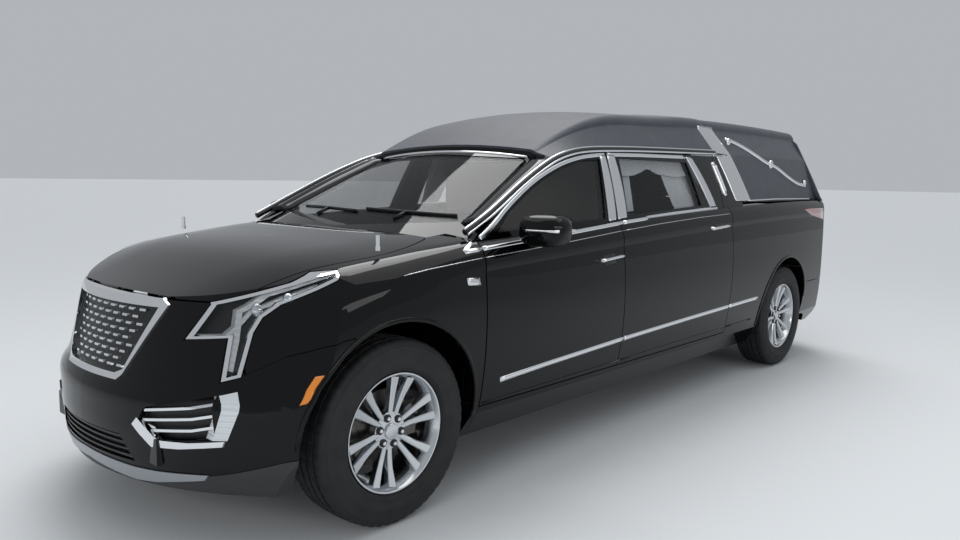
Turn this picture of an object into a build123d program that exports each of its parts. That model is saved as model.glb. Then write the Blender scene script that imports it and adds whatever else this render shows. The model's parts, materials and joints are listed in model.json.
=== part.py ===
from build123d import *
import os
from math import cos, sin, radians

# A funeral coach on a lengthened crossover body: millimetres, +X forward, +Y to the car's left,
# +Z up, with the origin on the ground under the middle of the car's length.

os.makedirs("parts", exist_ok=True)

# Driving dimensions
HALF_LENGTH = 2975
HALF_WIDTH = 952
FRONT_AXLE_X = 2030
WHEELBASE = 3900
REAR_AXLE_X = FRONT_AXLE_X - WHEELBASE
TRACK = 1634
TYRE_R = 380
TYRE_WIDTH = 235
RIM_R = 246
AXLE_Z = TYRE_R
ARCH_R = 450
FRONT_WELL_Y = 505
REAR_WELL_Y = 665
SILL_Z = 235
FLOOR_Z = 330
DOOR_LOW_Z = 388
DOOR_T = 85
FRAME_T = 42
SKIN = 22
ROOF_T = 34
VINYL_T = 12
GAP = 6
GLASS_T = 5
BELT_SPLIT_Z = 1160

# Door seams along the car, at the sill
SEAM_A = 1545
SEAM_B = 420
SEAM_C = -895

# Lower body, one row a station: place, half width at the sill, at the waist, under the crease and
# at the crease, then the height of the crease and of the top on the centre line
FRONT_STATIONS = [
    (3060, 850, 885, 800, 620, 800, 850),
    (2650, 885, 925, 880, 705, 915, 958),
    (2300, 892, 942, 922, 770, 1035, 1075),
    (1900, 898, 950, 940, 830, 1090, 1130),
    (SEAM_A, 905, 952, 942, 885, 1118, 1167),
]
REAR_STATIONS = [
    (SEAM_A, 905, 952, 942, 885, 1118, 1167),
    (500, 908, 952, 938, 905, 1165, 1215),
    (-700, 908, 952, 938, 905, 1215, 1262),
    (-1900, 900, 950, 936, 898, 1246, 1292),
    (-3060, 850, 905, 895, 850, 1238, 1280),
]
SILL_TOP_Z = 355
WAIST_Z = 700
UNDER_DROP = 125
SILL_TUCK = 75

# Upper body, one row a station: place, half width at its foot, half width and height at the drip
# rail, half width and height at the roof's shoulder, height of the crown
UPPER_FRONT = [
    (1820, 800, 770, 1160, 600, 1230, 1260),
    (1340, 880, 822, 1262, 640, 1370, 1400),
    (860, 893, 744, 1486, 600, 1522, 1556),
    (380, 905, 738, 1560, 613, 1722, 1764),
    (-100, 906, 738, 1572, 608, 1783, 1822),
    (-580, 906, 738, 1577, 605, 1803, 1842),
    (-1060, 906, 738, 1580, 603, 1814, 1853),
    (-1540, 906, 738, 1580, 602, 1816, 1855),
]
UPPER_REAR = [
    (-1060, 906, 738, 1580, 603, 1814, 1853),
    (-2060, 900, 736, 1580, 600, 1816, 1854),
    (-3060, 850, 715, 1572, 590, 1792, 1828),
]
UPPER_FOOT_Z = 1085

# The nose and the tail are turned about upright axes, so they bow in plan: radius, height
NOSE_R = 1600
NOSE_AXIS = HALF_LENGTH - NOSE_R
NOSE_PROFILE = [
    (0, 170), (1420, 175), (1530, 235), (1585, 330), (1600, 450), (1592, 585), (1532, 612),
    (1372, 925), (1300, 1010), (1000, 1400), (0, 1400),
]
TAIL_R = 2600
TAIL_AXIS = TAIL_R - HALF_LENGTH
TAIL_PROFILE = [
    (0, 200), (2450, 205), (2540, 290), (2592, 420), (2600, 560), (2575, 600), (2562, 640),
    (2545, 1000), (2500, 1240), (2478, 1260), (2440, 1500), (2395, 1760), (2330, 1900), (0, 1900),
]


def wire(runs):
    """Closed wire from straight runs (two points) and arcs (three points)."""
    edges = []
    for run in runs:
        if len(run) == 2:
            edges.append(Edge.make_line(*run))
        else:
            edges.append(Edge.make_three_point_arc(*run))
    return Wire(edges)


def at_x(x, runs):
    return [[(x, y, z) for y, z in run] for run in runs]


def back(runs):
    return [list(reversed(run)) for run in reversed(runs)]


def flipped(runs):
    """The same runs on the right side, in the opposite order."""
    return [[(x, -y, z) for x, y, z in reversed(run)] for run in reversed(runs)]


def prism_y(points, y0, y1):
    """Solid from an outline in side view, between two widths."""
    face = Face(Wire.make_polygon([(x, y0, z) for x, z in points], close=True))
    return Solid.extrude(face, Vector(0, y1 - y0, 0))


def prism_x(points, x0, x1):
    """Solid from an outline in front view, between two places along the car."""
    face = Face(Wire.make_polygon([(x0, y, z) for y, z in points], close=True))
    return Solid.extrude(face, Vector(x1 - x0, 0, 0))


def prism_z(points, z0, z1):
    """Solid from an outline in plan, between two heights."""
    face = Face(Wire.make_polygon([(x, y, z0) for x, y in points], close=True))
    return Solid.extrude(face, Vector(0, 0, z1 - z0))


def plan_solid(runs, z0, z1):
    """Solid from lines and arcs in plan, between two heights."""
    lifted = [[(x, y, z0) for x, y in run] for run in runs]
    return Solid.extrude(Face(wire(lifted)), Vector(0, 0, z1 - z0))


def box(x0, x1, y0, y1, z0, z1):
    return Pos((x0 + x1) / 2, (y0 + y1) / 2, (z0 + z1) / 2) * Box(x1 - x0, y1 - y0, z1 - z0)


def rod_y(x, z, r, y0, y1):
    return Pos(x, (y0 + y1) / 2, z) * Rot(90, 0, 0) * Cylinder(r, y1 - y0)


def rod_x(y, z, r, x0, x1):
    return Pos((x0 + x1) / 2, y, z) * Rot(0, 90, 0) * Cylinder(r, x1 - x0)


def rod_z(x, y, r, z0, z1):
    return Pos(x, y, (z0 + z1) / 2) * Cylinder(r, z1 - z0)


def mirrored(shape):
    return shape.mirror(Plane.XZ)


def solids_of(*shapes):
    found = []
    for shape in shapes:
        found += shape.solids()
    return found


def save(name, *shapes):
    """Write one sub-part, leaving out slivers."""
    kept = [s for s in solids_of(*shapes) if s.volume > 300]
    export_step(Compound(children=kept) if len(kept) > 1 else kept[0], "parts/" + name + ".step")


def lower_runs(row, inset, drop):
    """Left side of the lower body from the sill up to the crease, moved in and down."""
    x, sill, waist, under, crease, crease_z, top_z = row
    sill, waist, under, crease = sill - inset, waist - inset, under - inset, crease - inset
    crease_z = crease_z - drop
    under_z = crease_z - UNDER_DROP
    swell = (crease + (under - crease) * 0.72, under_z + UNDER_DROP * 0.66)
    return at_x(x, [
        [(sill - SILL_TUCK, SILL_Z), (sill, SILL_TOP_Z)],
        [(sill, SILL_TOP_Z), (waist, WAIST_Z), (under, under_z)],
        [(under, under_z), swell, (crease, crease_z)],
    ])


def lower_wall(stations, outer, inner, drop=0):
    """Left wall of the lower body between two depths from its outer face."""
    sections = []
    for row in stations:
        out = lower_runs(row, outer, 0)
        inn = lower_runs(row, inner, drop)
        ties = [[out[-1][-1], inn[-1][-1]], [inn[0][0], out[0][0]]]
        sections.append(wire(out + ties[:1] + back(inn) + ties[1:]))
    return Solid.make_loft(sections, False)


def crown_shell(stations, side, thickness):
    """The top between the two creases, such as the bonnet."""
    sections = []
    for row in stations:
        x, edge, edge_z, top_z = row[0], row[4] - side, row[5], row[6]
        sections.append(wire(at_x(x, [
            [(edge, edge_z), (0, top_z), (-edge, edge_z)],
            [(-edge, edge_z), (-edge, edge_z - thickness)],
            [(-edge, edge_z - thickness), (0, top_z - thickness), (edge, edge_z - thickness)],
            [(edge, edge_z - thickness), (edge, edge_z)],
        ])))
    return Solid.make_loft(sections, False)


def lower_body(stations, inset=0, drop=0):
    """The whole lower body as one block."""
    sections = []
    for row in stations:
        left = lower_runs(row, inset, drop)
        right = flipped(left)
        crown = [left[-1][-1], (row[0], 0, row[6] - drop), right[0][0]]
        sections.append(wire(left + [crown] + right + [[right[-1][-1], left[0][0]]]))
    return Solid.make_loft(sections, False)


def upper_runs(row, inset, drop):
    """Left side of the upper body from its foot to the edge of the crown, moved in and down."""
    x, foot, drip, drip_z, shoulder, shoulder_z, crown_z = row
    foot, drip, shoulder = foot - inset, drip - inset, shoulder - inset
    shoulder_z = shoulder_z - drop
    drip_z = drip_z - drop * 0.3
    rise = shoulder_z - drip_z
    middle = ((foot + drip) / 2 + 10, (UPPER_FOOT_Z + drip_z) / 2)
    brow = (shoulder + 22, drip_z + rise * 0.72)
    bend = (shoulder + 4, shoulder_z - rise * 0.06)
    return at_x(x, [
        [(foot, UPPER_FOOT_Z), middle, (drip, drip_z)],
        [(drip, drip_z), brow],
        [brow, bend, (shoulder - 28, shoulder_z + 3)],
    ])


def upper_shell(stations, outer, outer_drop, inner, inner_drop):
    """Roof and sides between two depths from the outer face, open underneath."""
    sections = []
    for row in stations:
        arch = []
        for inset, drop in ((outer, outer_drop), (inner, inner_drop)):
            left = upper_runs(row, inset, drop)
            right = flipped(left)
            crown = [left[-1][-1], (row[0], 0, row[6] - drop), right[0][0]]
            arch.append(left + [crown] + right)
        ties = [[arch[0][-1][-1], arch[1][-1][-1]], [arch[1][0][0], arch[0][0][0]]]
        sections.append(wire(arch[0] + ties[:1] + back(arch[1]) + ties[1:]))
    return Solid.make_loft(sections, False)


def upper_body(stations):
    """The whole upper body as one block."""
    sections = []
    for row in stations:
        left = upper_runs(row, 0, 0)
        right = flipped(left)
        crown = [left[-1][-1], (row[0], 0, row[6]), right[0][0]]
        sections.append(wire(left + [crown] + right + [[right[-1][-1], left[0][0]]]))
    return Solid.make_loft(sections, False)


def upper_wall(stations, outer, inner):
    """Left side of the upper body up to the drip rail, between two depths."""
    sections = []
    for row in stations:
        out = upper_runs(row, outer, 0)[:1]
        inn = upper_runs(row, inner, 0)[:1]
        ties = [[out[0][-1], inn[0][-1]], [inn[0][0], out[0][0]]]
        sections.append(wire(out + ties[:1] + back(inn) + ties[1:]))
    return Solid.make_loft(sections, False)


def turned_block(profile, axis_x, way, inset):
    rim = [(axis_x + way * max(r - inset, 0), 0, z) for r, z in profile]
    face = Face(Wire.make_polygon(rim, close=True))
    return revolve(face, Axis((axis_x, 0, 0), (0, 0, 1)), 360)


def ends_plan(way, start, corner, tip, inset, z1):
    """Plan of one end of the car: straight sides, round corners and room for the bow."""
    (x0, y0), (xc, yc), (xt, yt) = start, corner, tip
    y0, xc, yc, xt = y0 - inset, xc - way * inset, yc - inset, xt - way * inset
    left = [[(way * 600, 970 - inset), (x0, y0)], [(x0, y0), (xc, yc), (xt, yt)],
            [(xt, yt), (way * 3200, yt - 60)]]
    right = [[(x, -y) for x, y in reversed(run)] for run in reversed(left)]
    nose = [[left[-1][-1], right[0][0]]]
    tail = [[right[-1][-1], left[0][0]]]
    return plan_solid(left + nose + right + tail, 100, z1)


def nose_block(inset=0):
    plan = ends_plan(1, (2420, 957), (2742, 812), (2860, 600), inset, 1500)
    return turned_block(NOSE_PROFILE, NOSE_AXIS, 1, inset) & plan


def tail_block(inset=0):
    plan = ends_plan(-1, (-2380, 957), (-2790, 830), (-2925, 560), inset, 2000)
    return turned_block(TAIL_PROFILE, TAIL_AXIS, -1, inset) & plan


def screen_block(inset=0):
    """Everything behind the windscreen's surface, moved in along its normal."""
    along, down = inset * 0.44, inset * 0.9
    sections = []
    for z, centre, side, half in ((1000, 1960, 1767, 1000), (2000, -88, -551, 1000)):
        z, centre, side = z - down, centre - along, side - along
        sections.append(wire([
            [(-3200, half, z), (side, half, z)],
            [(side, half, z), (centre, 0, z), (side, -half, z)],
            [(side, -half, z), (-3200, -half, z)],
            [(-3200, -half, z), (-3200, half, z)],
        ]))
    return Solid.make_loft(sections, True)


# Seams, slanting with the door frames above the belt
def seam_b(shift):
    return [(SEAM_B + shift, DOOR_LOW_Z), (SEAM_B + 14 + shift, 1160), (352 + shift, 1549)]


def seam_c(shift):
    return [(SEAM_C + shift, DOOR_LOW_Z), (SEAM_C + shift, 1225), (-935 + shift, 1560)]


A_PILLAR_LINE = [(360, 1549), (600, 1528), (800, 1484), (1053, 1392), (1300, 1272), (1500, 1150)]
DOOR_OUTLINES = {
    "front": [(SEAM_A - GAP, DOOR_LOW_Z)] + seam_b(GAP / 2) + A_PILLAR_LINE[1:] + [(SEAM_A - GAP, 1121)],
    "rear": seam_b(-GAP / 2) + [(-400, 1560)] + list(reversed(seam_c(GAP / 2))),
}
WINDOW_OUTLINES = {
    "front": [(520, 1190), (1390, 1150), (1270, 1238), (1030, 1356), (800, 1442), (610, 1490), (430, 1506)],
    "rear": [(300, 1203), (-588, 1240), (-545, 1510), (236, 1512)],
}
VINYL_LINE = [(-3100, 1000), (-1255, 1000), (-1160, 1580), (350, 1580), (620, 1552), (812, 1496), (812, 2000),
              (-3100, 2000)]
BAND_LINE = [(-1082, 1000), (-1250, 1000), (-1108, 1900), (-940, 1900)]

door_wall = lower_wall(REAR_STATIONS, 0, DOOR_T)
frame_wall = upper_wall(UPPER_FRONT, 0, FRAME_T)
glass_wall = upper_wall(UPPER_FRONT, 7, 7 + GLASS_T)
fender_wall = lower_wall(FRONT_STATIONS, 0, SKIN, 10)
nose = nose_block()
nose_inner = nose_block(SKIN)
tail = tail_block()
tail_inner = tail_block(DOOR_T)
screen = screen_block()
nose_shell = (lower_body(FRONT_STATIONS) & nose & box(2440, 3000, -1000, 1000, 0, 1500)) \
    - (lower_body(FRONT_STATIONS, SKIN, SKIN) & nose_inner)


def sides(shape):
    return [("left", shape), ("right", mirrored(shape))]


# Doors: the lower wall and the window frame in one piece, and the glass that fills the window
for place in ("front", "rear"):
    outline = prism_y(DOOR_OUTLINES[place], 500, 1100)
    window = prism_y(WINDOW_OUTLINES[place], 500, 1100)
    leaf = ((door_wall & outline) + (frame_wall & outline)) - window
    lower_leaf = leaf & box(-1500, 2000, 0, 1100, 0, BELT_SPLIT_Z)
    upper_leaf = leaf & box(-1500, 2000, 0, 1100, BELT_SPLIT_Z, 1700)
    pane = glass_wall & window
    for side, piece in sides(Compound(children=solids_of(lower_leaf, upper_leaf))):
        save("door_" + place + "_" + side, piece)
    if place == "front":
        front_leaf = leaf
    for side, piece in sides(pane):
        save("glass_" + place + "_" + side, piece)

# Bonnet and front fenders
arch_f = rod_y(FRONT_AXLE_X, AXLE_Z + 5, ARCH_R, 400, 1100)
arch_r = rod_y(REAR_AXLE_X, AXLE_Z + 5, ARCH_R, 600, 1100)
FENDER_FRONT = [(1480, 0), (1480, 1400), (2660, 1400), (2660, 800), (2420, 690), (2420, 0)]
BONNET_HINGE_X = 1630
bonnet_plan = plan_solid([
    [(BONNET_HINGE_X, 850), (1780, 0), (BONNET_HINGE_X, -850)],
    [(BONNET_HINGE_X, -850), (2690, -850)], [(2690, -850), (2690, 850)],
    [(2690, 850), (BONNET_HINGE_X, 850)],
], 800, 1400)
fender = (fender_wall & prism_y(FENDER_FRONT, 300, 1100) & nose) - arch_f
for side, piece in sides(fender):
    save("fender_" + side, piece)

# Nose: bumper, grille and lamps fill their own parts of one bowed shell
BUMPER_SIDE = [(2423, 100), (2423, 687), (2660, 797), (3100, 797), (3100, 100)]
GRILLE_FRONT = [(-395, 925), (395, 925), (345, 745), (265, 612), (-265, 612), (-345, 745)]
LAMP_FRONT = [(400, 940), (400, 800), (900, 800), (900, 1100), (640, 1100)]
grille_outline = prism_x(GRILLE_FRONT, 2500, 3100)
bumper = (nose_shell & prism_y(BUMPER_SIDE, -1100, 1100)) - grille_outline - arch_f
save("bumper_front", bumper - mirrored(arch_f))
grille_ring = (nose & grille_outline & box(2500, 3000, -500, 500, 600, 940)) - nose_block(40)
GRILLE_HOLE = [(-365, 895), (365, 895), (318, 750), (245, 640), (-245, 640), (-318, 750)]
grille_hole = prism_x(GRILLE_HOLE, 2500, 3100)
save("grille_frame", grille_ring - grille_hole)
save("grille_mesh", (nose_block(14) & grille_hole & box(2500, 3000, -500, 500, 600, 940)) - nose_block(26))
lamp_zone = prism_x(LAMP_FRONT, 2400, 3100)
lamp = nose_shell & lamp_zone & prism_y([(2663, 803), (2663, 1100), (3100, 1100), (3100, 803)], 0, 1100)
save("headlamps", lamp, mirrored(lamp))
lamp_room = prism_x([(390, 700), (390, 946), (640, 1110), (1000, 1110), (1000, 700)], 2655, 3100)
bonnet = crown_shell(FRONT_STATIONS, SKIN + GAP, SKIN) & bonnet_plan & nose
bonnet = bonnet - prism_x([(-400, 600), (-400, 931), (400, 931), (400, 600)], 2500, 3100)
save("bonnet", bonnet - lamp_room - mirrored(lamp_room))

# Windscreen, cut by the pillars in front view
SCREEN_FRONT = [(0, 1150), (715, 1195), (575, 1500), (0, 1525), (-575, 1500), (-715, 1195)]
screen_hole = prism_x(SCREEN_FRONT, 600, 2000)
save("windscreen", (screen_block(3) - screen_block(8)) & screen_hole)

# Roof: a painted shell carries the vinyl cover, which runs down to the belt behind the band
BAND_X = -1000
front_limit = (screen + box(-2200, 815, -1000, 1000, 900, 2100)) & box(BAND_X - 55, 2000, -1000, 1000, 900, 2100)
rear_limit = tail & box(-3000, BAND_X - 60, -1000, 1000, 1254, 2100)
vinyl_prism = prism_y(VINYL_LINE, -1100, 1100)
cover_front = upper_shell(UPPER_FRONT, 0, 0, VINYL_T, VINYL_T) & vinyl_prism & front_limit
cover_rear = upper_shell(UPPER_REAR, 0, 0, VINYL_T, VINYL_T) & vinyl_prism & rear_limit
lining_front = upper_shell(UPPER_FRONT, VINYL_T + 1, VINYL_T + 1, FRAME_T, ROOF_T) & vinyl_prism & front_limit
lining_rear = upper_shell(UPPER_REAR, VINYL_T + 1, VINYL_T + 1, FRAME_T, ROOF_T) & vinyl_prism & rear_limit
save("vinyl_roof", cover_front, cover_rear)

# Tail: the wall of the lower body carries on round the back, with the load door cut out of it
DOOR_HALF = 610
DOOR_LOW = 610
rear_door_hole = box(-3100, -2600, -DOOR_HALF, DOOR_HALF, DOOR_LOW, 1770)
tail_shell = lower_body(REAR_STATIONS) & (tail - tail_inner) & box(-3000, -2300, -1000, 1000, 0, 1300)
bumper_rear = (tail_shell & box(-3000, -2320, -1000, 1000, 150, DOOR_LOW - GAP)) - arch_r - mirrored(arch_r)
save("bumper_rear", bumper_rear)
lower_tail = tail_shell & box(-3000, -2600, -1000, 1000, DOOR_LOW, 1300)
load_door = lower_tail & box(-3100, -2600, -DOOR_HALF, DOOR_HALF, DOOR_LOW, 1240)
save("load_door", load_door)
upper_tail = upper_body(UPPER_REAR) & (tail - tail_block(40)) & box(-3000, -2600, -1000, 1000, 1246, 1900)
window_rear = prism_x([(-400, 1330), (400, 1330), (360, 1640), (-360, 1640)], -3100, -2600)
door_top = upper_tail & prism_x([(-600, 1246), (600, 1246), (500, 1755), (-500, 1755)], -3100, -2600)
save("load_door_vinyl", door_top - window_rear)
save("load_door_glass", (tail_block(10) - tail_block(15)) & window_rear)

# Painted unit body
quarter = (lower_wall(REAR_STATIONS, 0, DOOR_T) & tail & box(-2320, SEAM_C - GAP / 2, 0, 1000, 0, 1300)) - arch_r
quarter_back = tail_shell & box(-2900, -2320, DOOR_HALF + GAP, 1000, DOOR_LOW, 1300)
sill = door_wall & box(SEAM_C - GAP / 2, SEAM_A, 0, 1000, 0, DOOR_LOW_Z - GAP)
RISE_X = -1390
floor = box(RISE_X, SEAM_A, -835, 835, FLOOR_Z - 40, FLOOR_Z) + box(-2640, RISE_X + 25, -755, 755, 510, 540)
floor = floor + box(RISE_X, RISE_X + 25, -835, 835, FLOOR_Z - 40, 540)
well_wide = rod_y(REAR_AXLE_X, AXLE_Z + 5, ARCH_R + 15, REAR_WELL_Y - 15, 868)
well_r = (well_wide - rod_y(REAR_AXLE_X, AXLE_Z + 5, ARCH_R, REAR_WELL_Y, 1000)
          - rod_y(REAR_AXLE_X, AXLE_Z, 60, 600, 800)) & box(-2400, -1300, 0, 1000, FLOOR_Z, 1200)
firewall = box(SEAM_A, SEAM_A + 40, -830, 830, FLOOR_Z - 40, 1080)
post_b = box(375, 465, 715, 790, FLOOR_Z, 1150)
rail = box(SEAM_A + 40, 2800, 400, 470, 330, 430)
frame_a = (upper_body(UPPER_FRONT) & screen & box(815, 2000, -1000, 1000, 1085, 1700)) - screen_block(40)
sail_outline = [(SEAM_C - GAP / 2, 1100), (SEAM_C - GAP / 2, 1226), (-938, 1561), (-1157, 1570), (-1234, 1100)]
sail = (frame_wall & prism_y(sail_outline, 300, 1100)) - vinyl_prism
DOOR_ROOM = [(SEAM_A, DOOR_LOW_Z - 60), (SEAM_B, DOOR_LOW_Z - 60), (350, 1555), (600, 1534), (800, 1490),
             (1053, 1398), (1300, 1278), (1500, 1156), (SEAM_A, 1127)]
door_room = prism_y(DOOR_ROOM, 300, 1100)
frame_a = frame_a - screen_hole - door_room - mirrored(door_room) - fender - mirrored(fender) - bonnet
floor = floor - rod_y(REAR_AXLE_X, AXLE_Z + 5, ARCH_R, REAR_WELL_Y, 1000)
floor = floor - rod_y(REAR_AXLE_X, AXLE_Z + 5, ARCH_R, -1000, -REAR_WELL_Y)
body = [quarter, quarter_back, sill, post_b, rail, well_r, sail]
save("body", floor, firewall, lining_front, lining_rear, frame_a, *body, *[mirrored(p) for p in body])

# Running gear
TYRE_PROFILE = [
    [(RIM_R + 1, -88), (RIM_R + 10, -104), (RIM_R + 50, -117)],
    [(RIM_R + 50, -117), (TYRE_R - 28, -110), (TYRE_R - 6, -90)],
    [(TYRE_R - 6, -90), (TYRE_R, 0), (TYRE_R - 6, 90)],
    [(TYRE_R - 6, 90), (TYRE_R - 28, 110), (RIM_R + 50, 117)],
    [(RIM_R + 50, 117), (RIM_R + 10, 104), (RIM_R + 1, 88)],
    [(RIM_R + 1, 88), (RIM_R + 1, -88)],
]
RIM_PROFILE = [
    (RIM_R, 92), (RIM_R - 10, 96), (RIM_R - 24, 70), (RIM_R - 34, 20), (RIM_R - 34, -80), (RIM_R, -96),
    (RIM_R, -90), (RIM_R - 8, -86), (RIM_R - 24, -70), (RIM_R - 24, 10), (RIM_R - 12, 70), (RIM_R - 5, 88),
]
SPOKES = 6
LUG_R = 60


def turned_y(profile):
    face = Face(Wire.make_polygon([(r, y, 0) for r, y in profile], close=True))
    return revolve(face, Axis((0, 0, 0), (0, 1, 0)), 360)


tyre_face = Face(wire([[(r, y, 0) for r, y in run] for run in TYRE_PROFILE]))
tyre = revolve(tyre_face, Axis((0, 0, 0), (0, 1, 0)), 360)
hub = Pos(0, 45, 0) * Rot(90, 0, 0) * Cylinder(82, 50)
spoke = prism_y([(60, 20), (218, 44), (218, 18), (60, 2)], 40, 72)
dish = [spoke, spoke.mirror(Plane.XY)]
rim = turned_y(RIM_PROFILE) + hub
for step in range(SPOKES):
    for piece in dish:
        rim = rim + Rot(0, step * 360 / SPOKES + 90, 0) * piece
for step in range(SPOKES):
    rim = rim + Rot(0, step * 360 / SPOKES + 60, 0) * Pos(LUG_R, 78, 0) * Rot(90, 0, 0) * Cylinder(10, 20)
disc = Pos(0, -8, 0) * Rot(90, 0, 0) * Cylinder(160, 26) + Pos(0, 10, 0) * Rot(90, 0, 0) * Cylinder(78, 16)
caliper = Pos(-135, -12, 20) * Box(70, 66, 150)
knuckle = Pos(0, -55, 0) * Rot(90, 0, 0) * Cylinder(60, 60) + Pos(-60, -55, 0) * Box(120, 50, 60) + (caliper - Pos(0, -8, 0) * Rot(90, 0, 0) * Cylinder(165, 34))
CORNERS = [("front_left", FRONT_AXLE_X, 1), ("front_right", FRONT_AXLE_X, -1),
           ("rear_left", REAR_AXLE_X, 1), ("rear_right", REAR_AXLE_X, -1)]
for name, axle_x, side in CORNERS:
    for node, piece in (("tyre_", tyre), ("rim_", rim), ("disc_", disc), ("knuckle_", knuckle)):
        turned_piece = piece if side > 0 else mirrored(piece)
        save(node + name, Pos(axle_x, side * TRACK / 2, AXLE_Z) * turned_piece)
axle_rear = rod_y(REAR_AXLE_X, AXLE_Z, 35, -730, 730) + box(REAR_AXLE_X - 110, REAR_AXLE_X + 110, -140, 140, 290, 480)
save("axle_rear", axle_rear - box(REAR_AXLE_X - 200, REAR_AXLE_X + 200, 727, 800, 0, 600))
save("subframe_front", box(1850, 2250, -380, 380, 240, 290))
save("engine", box(1850, 2450, -330, 330, 330, 880))
save("exhaust", rod_x(-300, 230, 32, -2600, 1500))

# Inside
SEAT_BLOCK = [(1000, 470), (1000, 640), (500, 610), (420, 1180), (300, 1180), (400, 470)]
for side, sign in (("left", 1), ("right", -1)):
    save("seat_" + side, prism_y(SEAT_BLOCK, sign * 150, sign * 670))
save("dashboard", prism_y([(1500, 620), (1500, 1080), (1300, 1060), (1200, 980), (1260, 620)], -760, 760))
wheel_tilt = Pos(1060, 400, 960) * Rot(0, -65, 0)
save("steering_wheel", wheel_tilt * (Torus(180, 15) + Box(350, 40, 14) + Cylinder(60, 24)) + Pos(1095, 400, 944) * Rot(0, -65, 0) * Cylinder(30, 70))
save("casket_deck", box(-2780, 150, -600, 600, 560, 600))
save("partition", box(180, 210, -640, 640, 560, 1500))
for side, sign in (("left", 1), ("right", -1)):
    head = Pos(1180, 1050, 1160) * Box(110, 180, 150) + Pos(1200, 950, 1105) * Box(60, 60, 40)
    save("mirror_" + side, head - front_leaf if sign > 0 else mirrored(head - front_leaf))
FLAG_R = 5
FLAG_BORE = 30
socket = rod_z(FRONT_AXLE_X, 799, 11, 1102, 1120) + rod_z(FRONT_AXLE_X, 799, 8.5, 1120, 1165)
socket = socket - rod_z(FRONT_AXLE_X, 799, FLAG_R, 1165 - FLAG_BORE, 1165)
save("flag_sockets", socket, mirrored(socket))
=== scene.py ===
# A funeral coach on a lengthened crossover body: finishes, trim, soft furnishings, studio and camera.
import bmesh
import bpy
import json
import math
from mathutils import Matrix, Vector
from mathutils.bvhtree import BVHTree


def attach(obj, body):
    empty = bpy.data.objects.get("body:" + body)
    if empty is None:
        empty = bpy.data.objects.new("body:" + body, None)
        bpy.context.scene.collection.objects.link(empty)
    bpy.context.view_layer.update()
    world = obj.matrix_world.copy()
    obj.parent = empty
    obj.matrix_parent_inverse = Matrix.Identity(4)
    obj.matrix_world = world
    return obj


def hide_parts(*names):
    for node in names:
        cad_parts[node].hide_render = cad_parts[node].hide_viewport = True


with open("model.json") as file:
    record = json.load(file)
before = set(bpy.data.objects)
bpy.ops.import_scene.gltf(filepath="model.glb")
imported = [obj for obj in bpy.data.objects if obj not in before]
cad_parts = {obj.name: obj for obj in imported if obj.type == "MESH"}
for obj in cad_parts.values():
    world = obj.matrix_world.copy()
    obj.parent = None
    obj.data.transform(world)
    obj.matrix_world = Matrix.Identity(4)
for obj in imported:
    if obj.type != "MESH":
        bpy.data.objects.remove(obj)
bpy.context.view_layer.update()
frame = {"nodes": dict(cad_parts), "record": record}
nodes = frame["nodes"]
print("frame loaded:", len(nodes), "solids")


# Materials: each starts from the real finish, and its sizes are in millimetres
def hexLinear(text):
    channels = [int(text[i:i + 2], 16) / 255 for i in (1, 3, 5)]
    return [c / 12.92 if c <= 0.04045 else ((c + 0.055) / 1.055) ** 2.4 for c in channels] + [1.0]


def addNode(material, kind, inputs=None, **settings):
    node = material.node_tree.nodes.new("ShaderNode" + kind)
    for name, value in settings.items():
        setattr(node, name, value)
    for name, value in (inputs or {}).items():
        if isinstance(value, bpy.types.NodeSocket):
            material.node_tree.links.new(value, node.inputs[name])
        else:
            node.inputs[name].default_value = value
    return node


def newMaterial(name, colour, roughness, metallic=0.0, **sockets):
    material = bpy.data.materials.new(name)
    material.use_nodes = True
    shader = material.node_tree.nodes["Principled BSDF"]
    shader.inputs["Base Color"].default_value = hexLinear(colour)
    shader.inputs["Roughness"].default_value = roughness
    shader.inputs["Metallic"].default_value = metallic
    for socket, value in sockets.items():
        shader.inputs[socket.replace("_", " ")].default_value = value
    return material, shader


def grain(material, shader, sizeMm, heightMm, kind="TexNoise", output="Fac"):
    place = addNode(material, "TexCoord")
    pattern = addNode(material, kind, {"Vector": place.outputs["Object"], "Scale": 1000 / sizeMm})
    bump = addNode(material, "Bump", {"Height": pattern.outputs[output], "Strength": 1.0,
                                      "Distance": heightMm / 1000})
    material.node_tree.links.new(bump.outputs["Normal"], shader.inputs["Normal"])


def mottle(material, shader, sizeMm, colours):
    # Two close colours wander over the surface, as stain, dye or dust does
    place = addNode(material, "TexCoord")
    cloud = addNode(material, "TexNoise", {"Vector": place.outputs["Object"], "Scale": 1000 / sizeMm,
                                           "Detail": 4.0})
    ramp = addNode(material, "ValToRGB", {"Fac": cloud.outputs["Fac"]})
    ramp.color_ramp.elements[0].position, ramp.color_ramp.elements[1].position = 0.35, 0.65
    for element, colour in zip(ramp.color_ramp.elements, colours):
        element.color = hexLinear(colour)
    material.node_tree.links.new(ramp.outputs["Color"], shader.inputs["Base Color"])


# Black car lacquer under clear coat: deep, with a trace of orange peel that softens reflections
lacquer, shader = newMaterial("black lacquer clear coated", "#050506", 0.30, Coat_Weight=1.0,
                              Coat_Roughness=0.012, Coat_IOR=1.34, Specular_IOR_Level=0.0)
grain(lacquer, shader, 6, 0.003)
# Padded vinyl hide, embossed: dark navy black, low sheen, its pebble grain drawn coarser than life
vinyl, shader = newMaterial("embossed vinyl roof hide", "#262b36", 0.52, Sheen_Weight=0.12)
mottle(vinyl, shader, 90, ("#222731", "#2c323e"))
grain(vinyl, shader, 9, 0.5, "TexVoronoi", "Distance")
# Chromium plate on moulded trim
chrome, shader = newMaterial("chromium plated trim", "#e8eaec", 0.05, 1.0)
grain(chrome, shader, 9, 0.002)
# Stainless steel, buffed
stainless, shader = newMaterial("buffed stainless steel", "#dfe1e3", 0.14, 1.0)
grain(stainless, shader, 4, 0.003)
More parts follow.
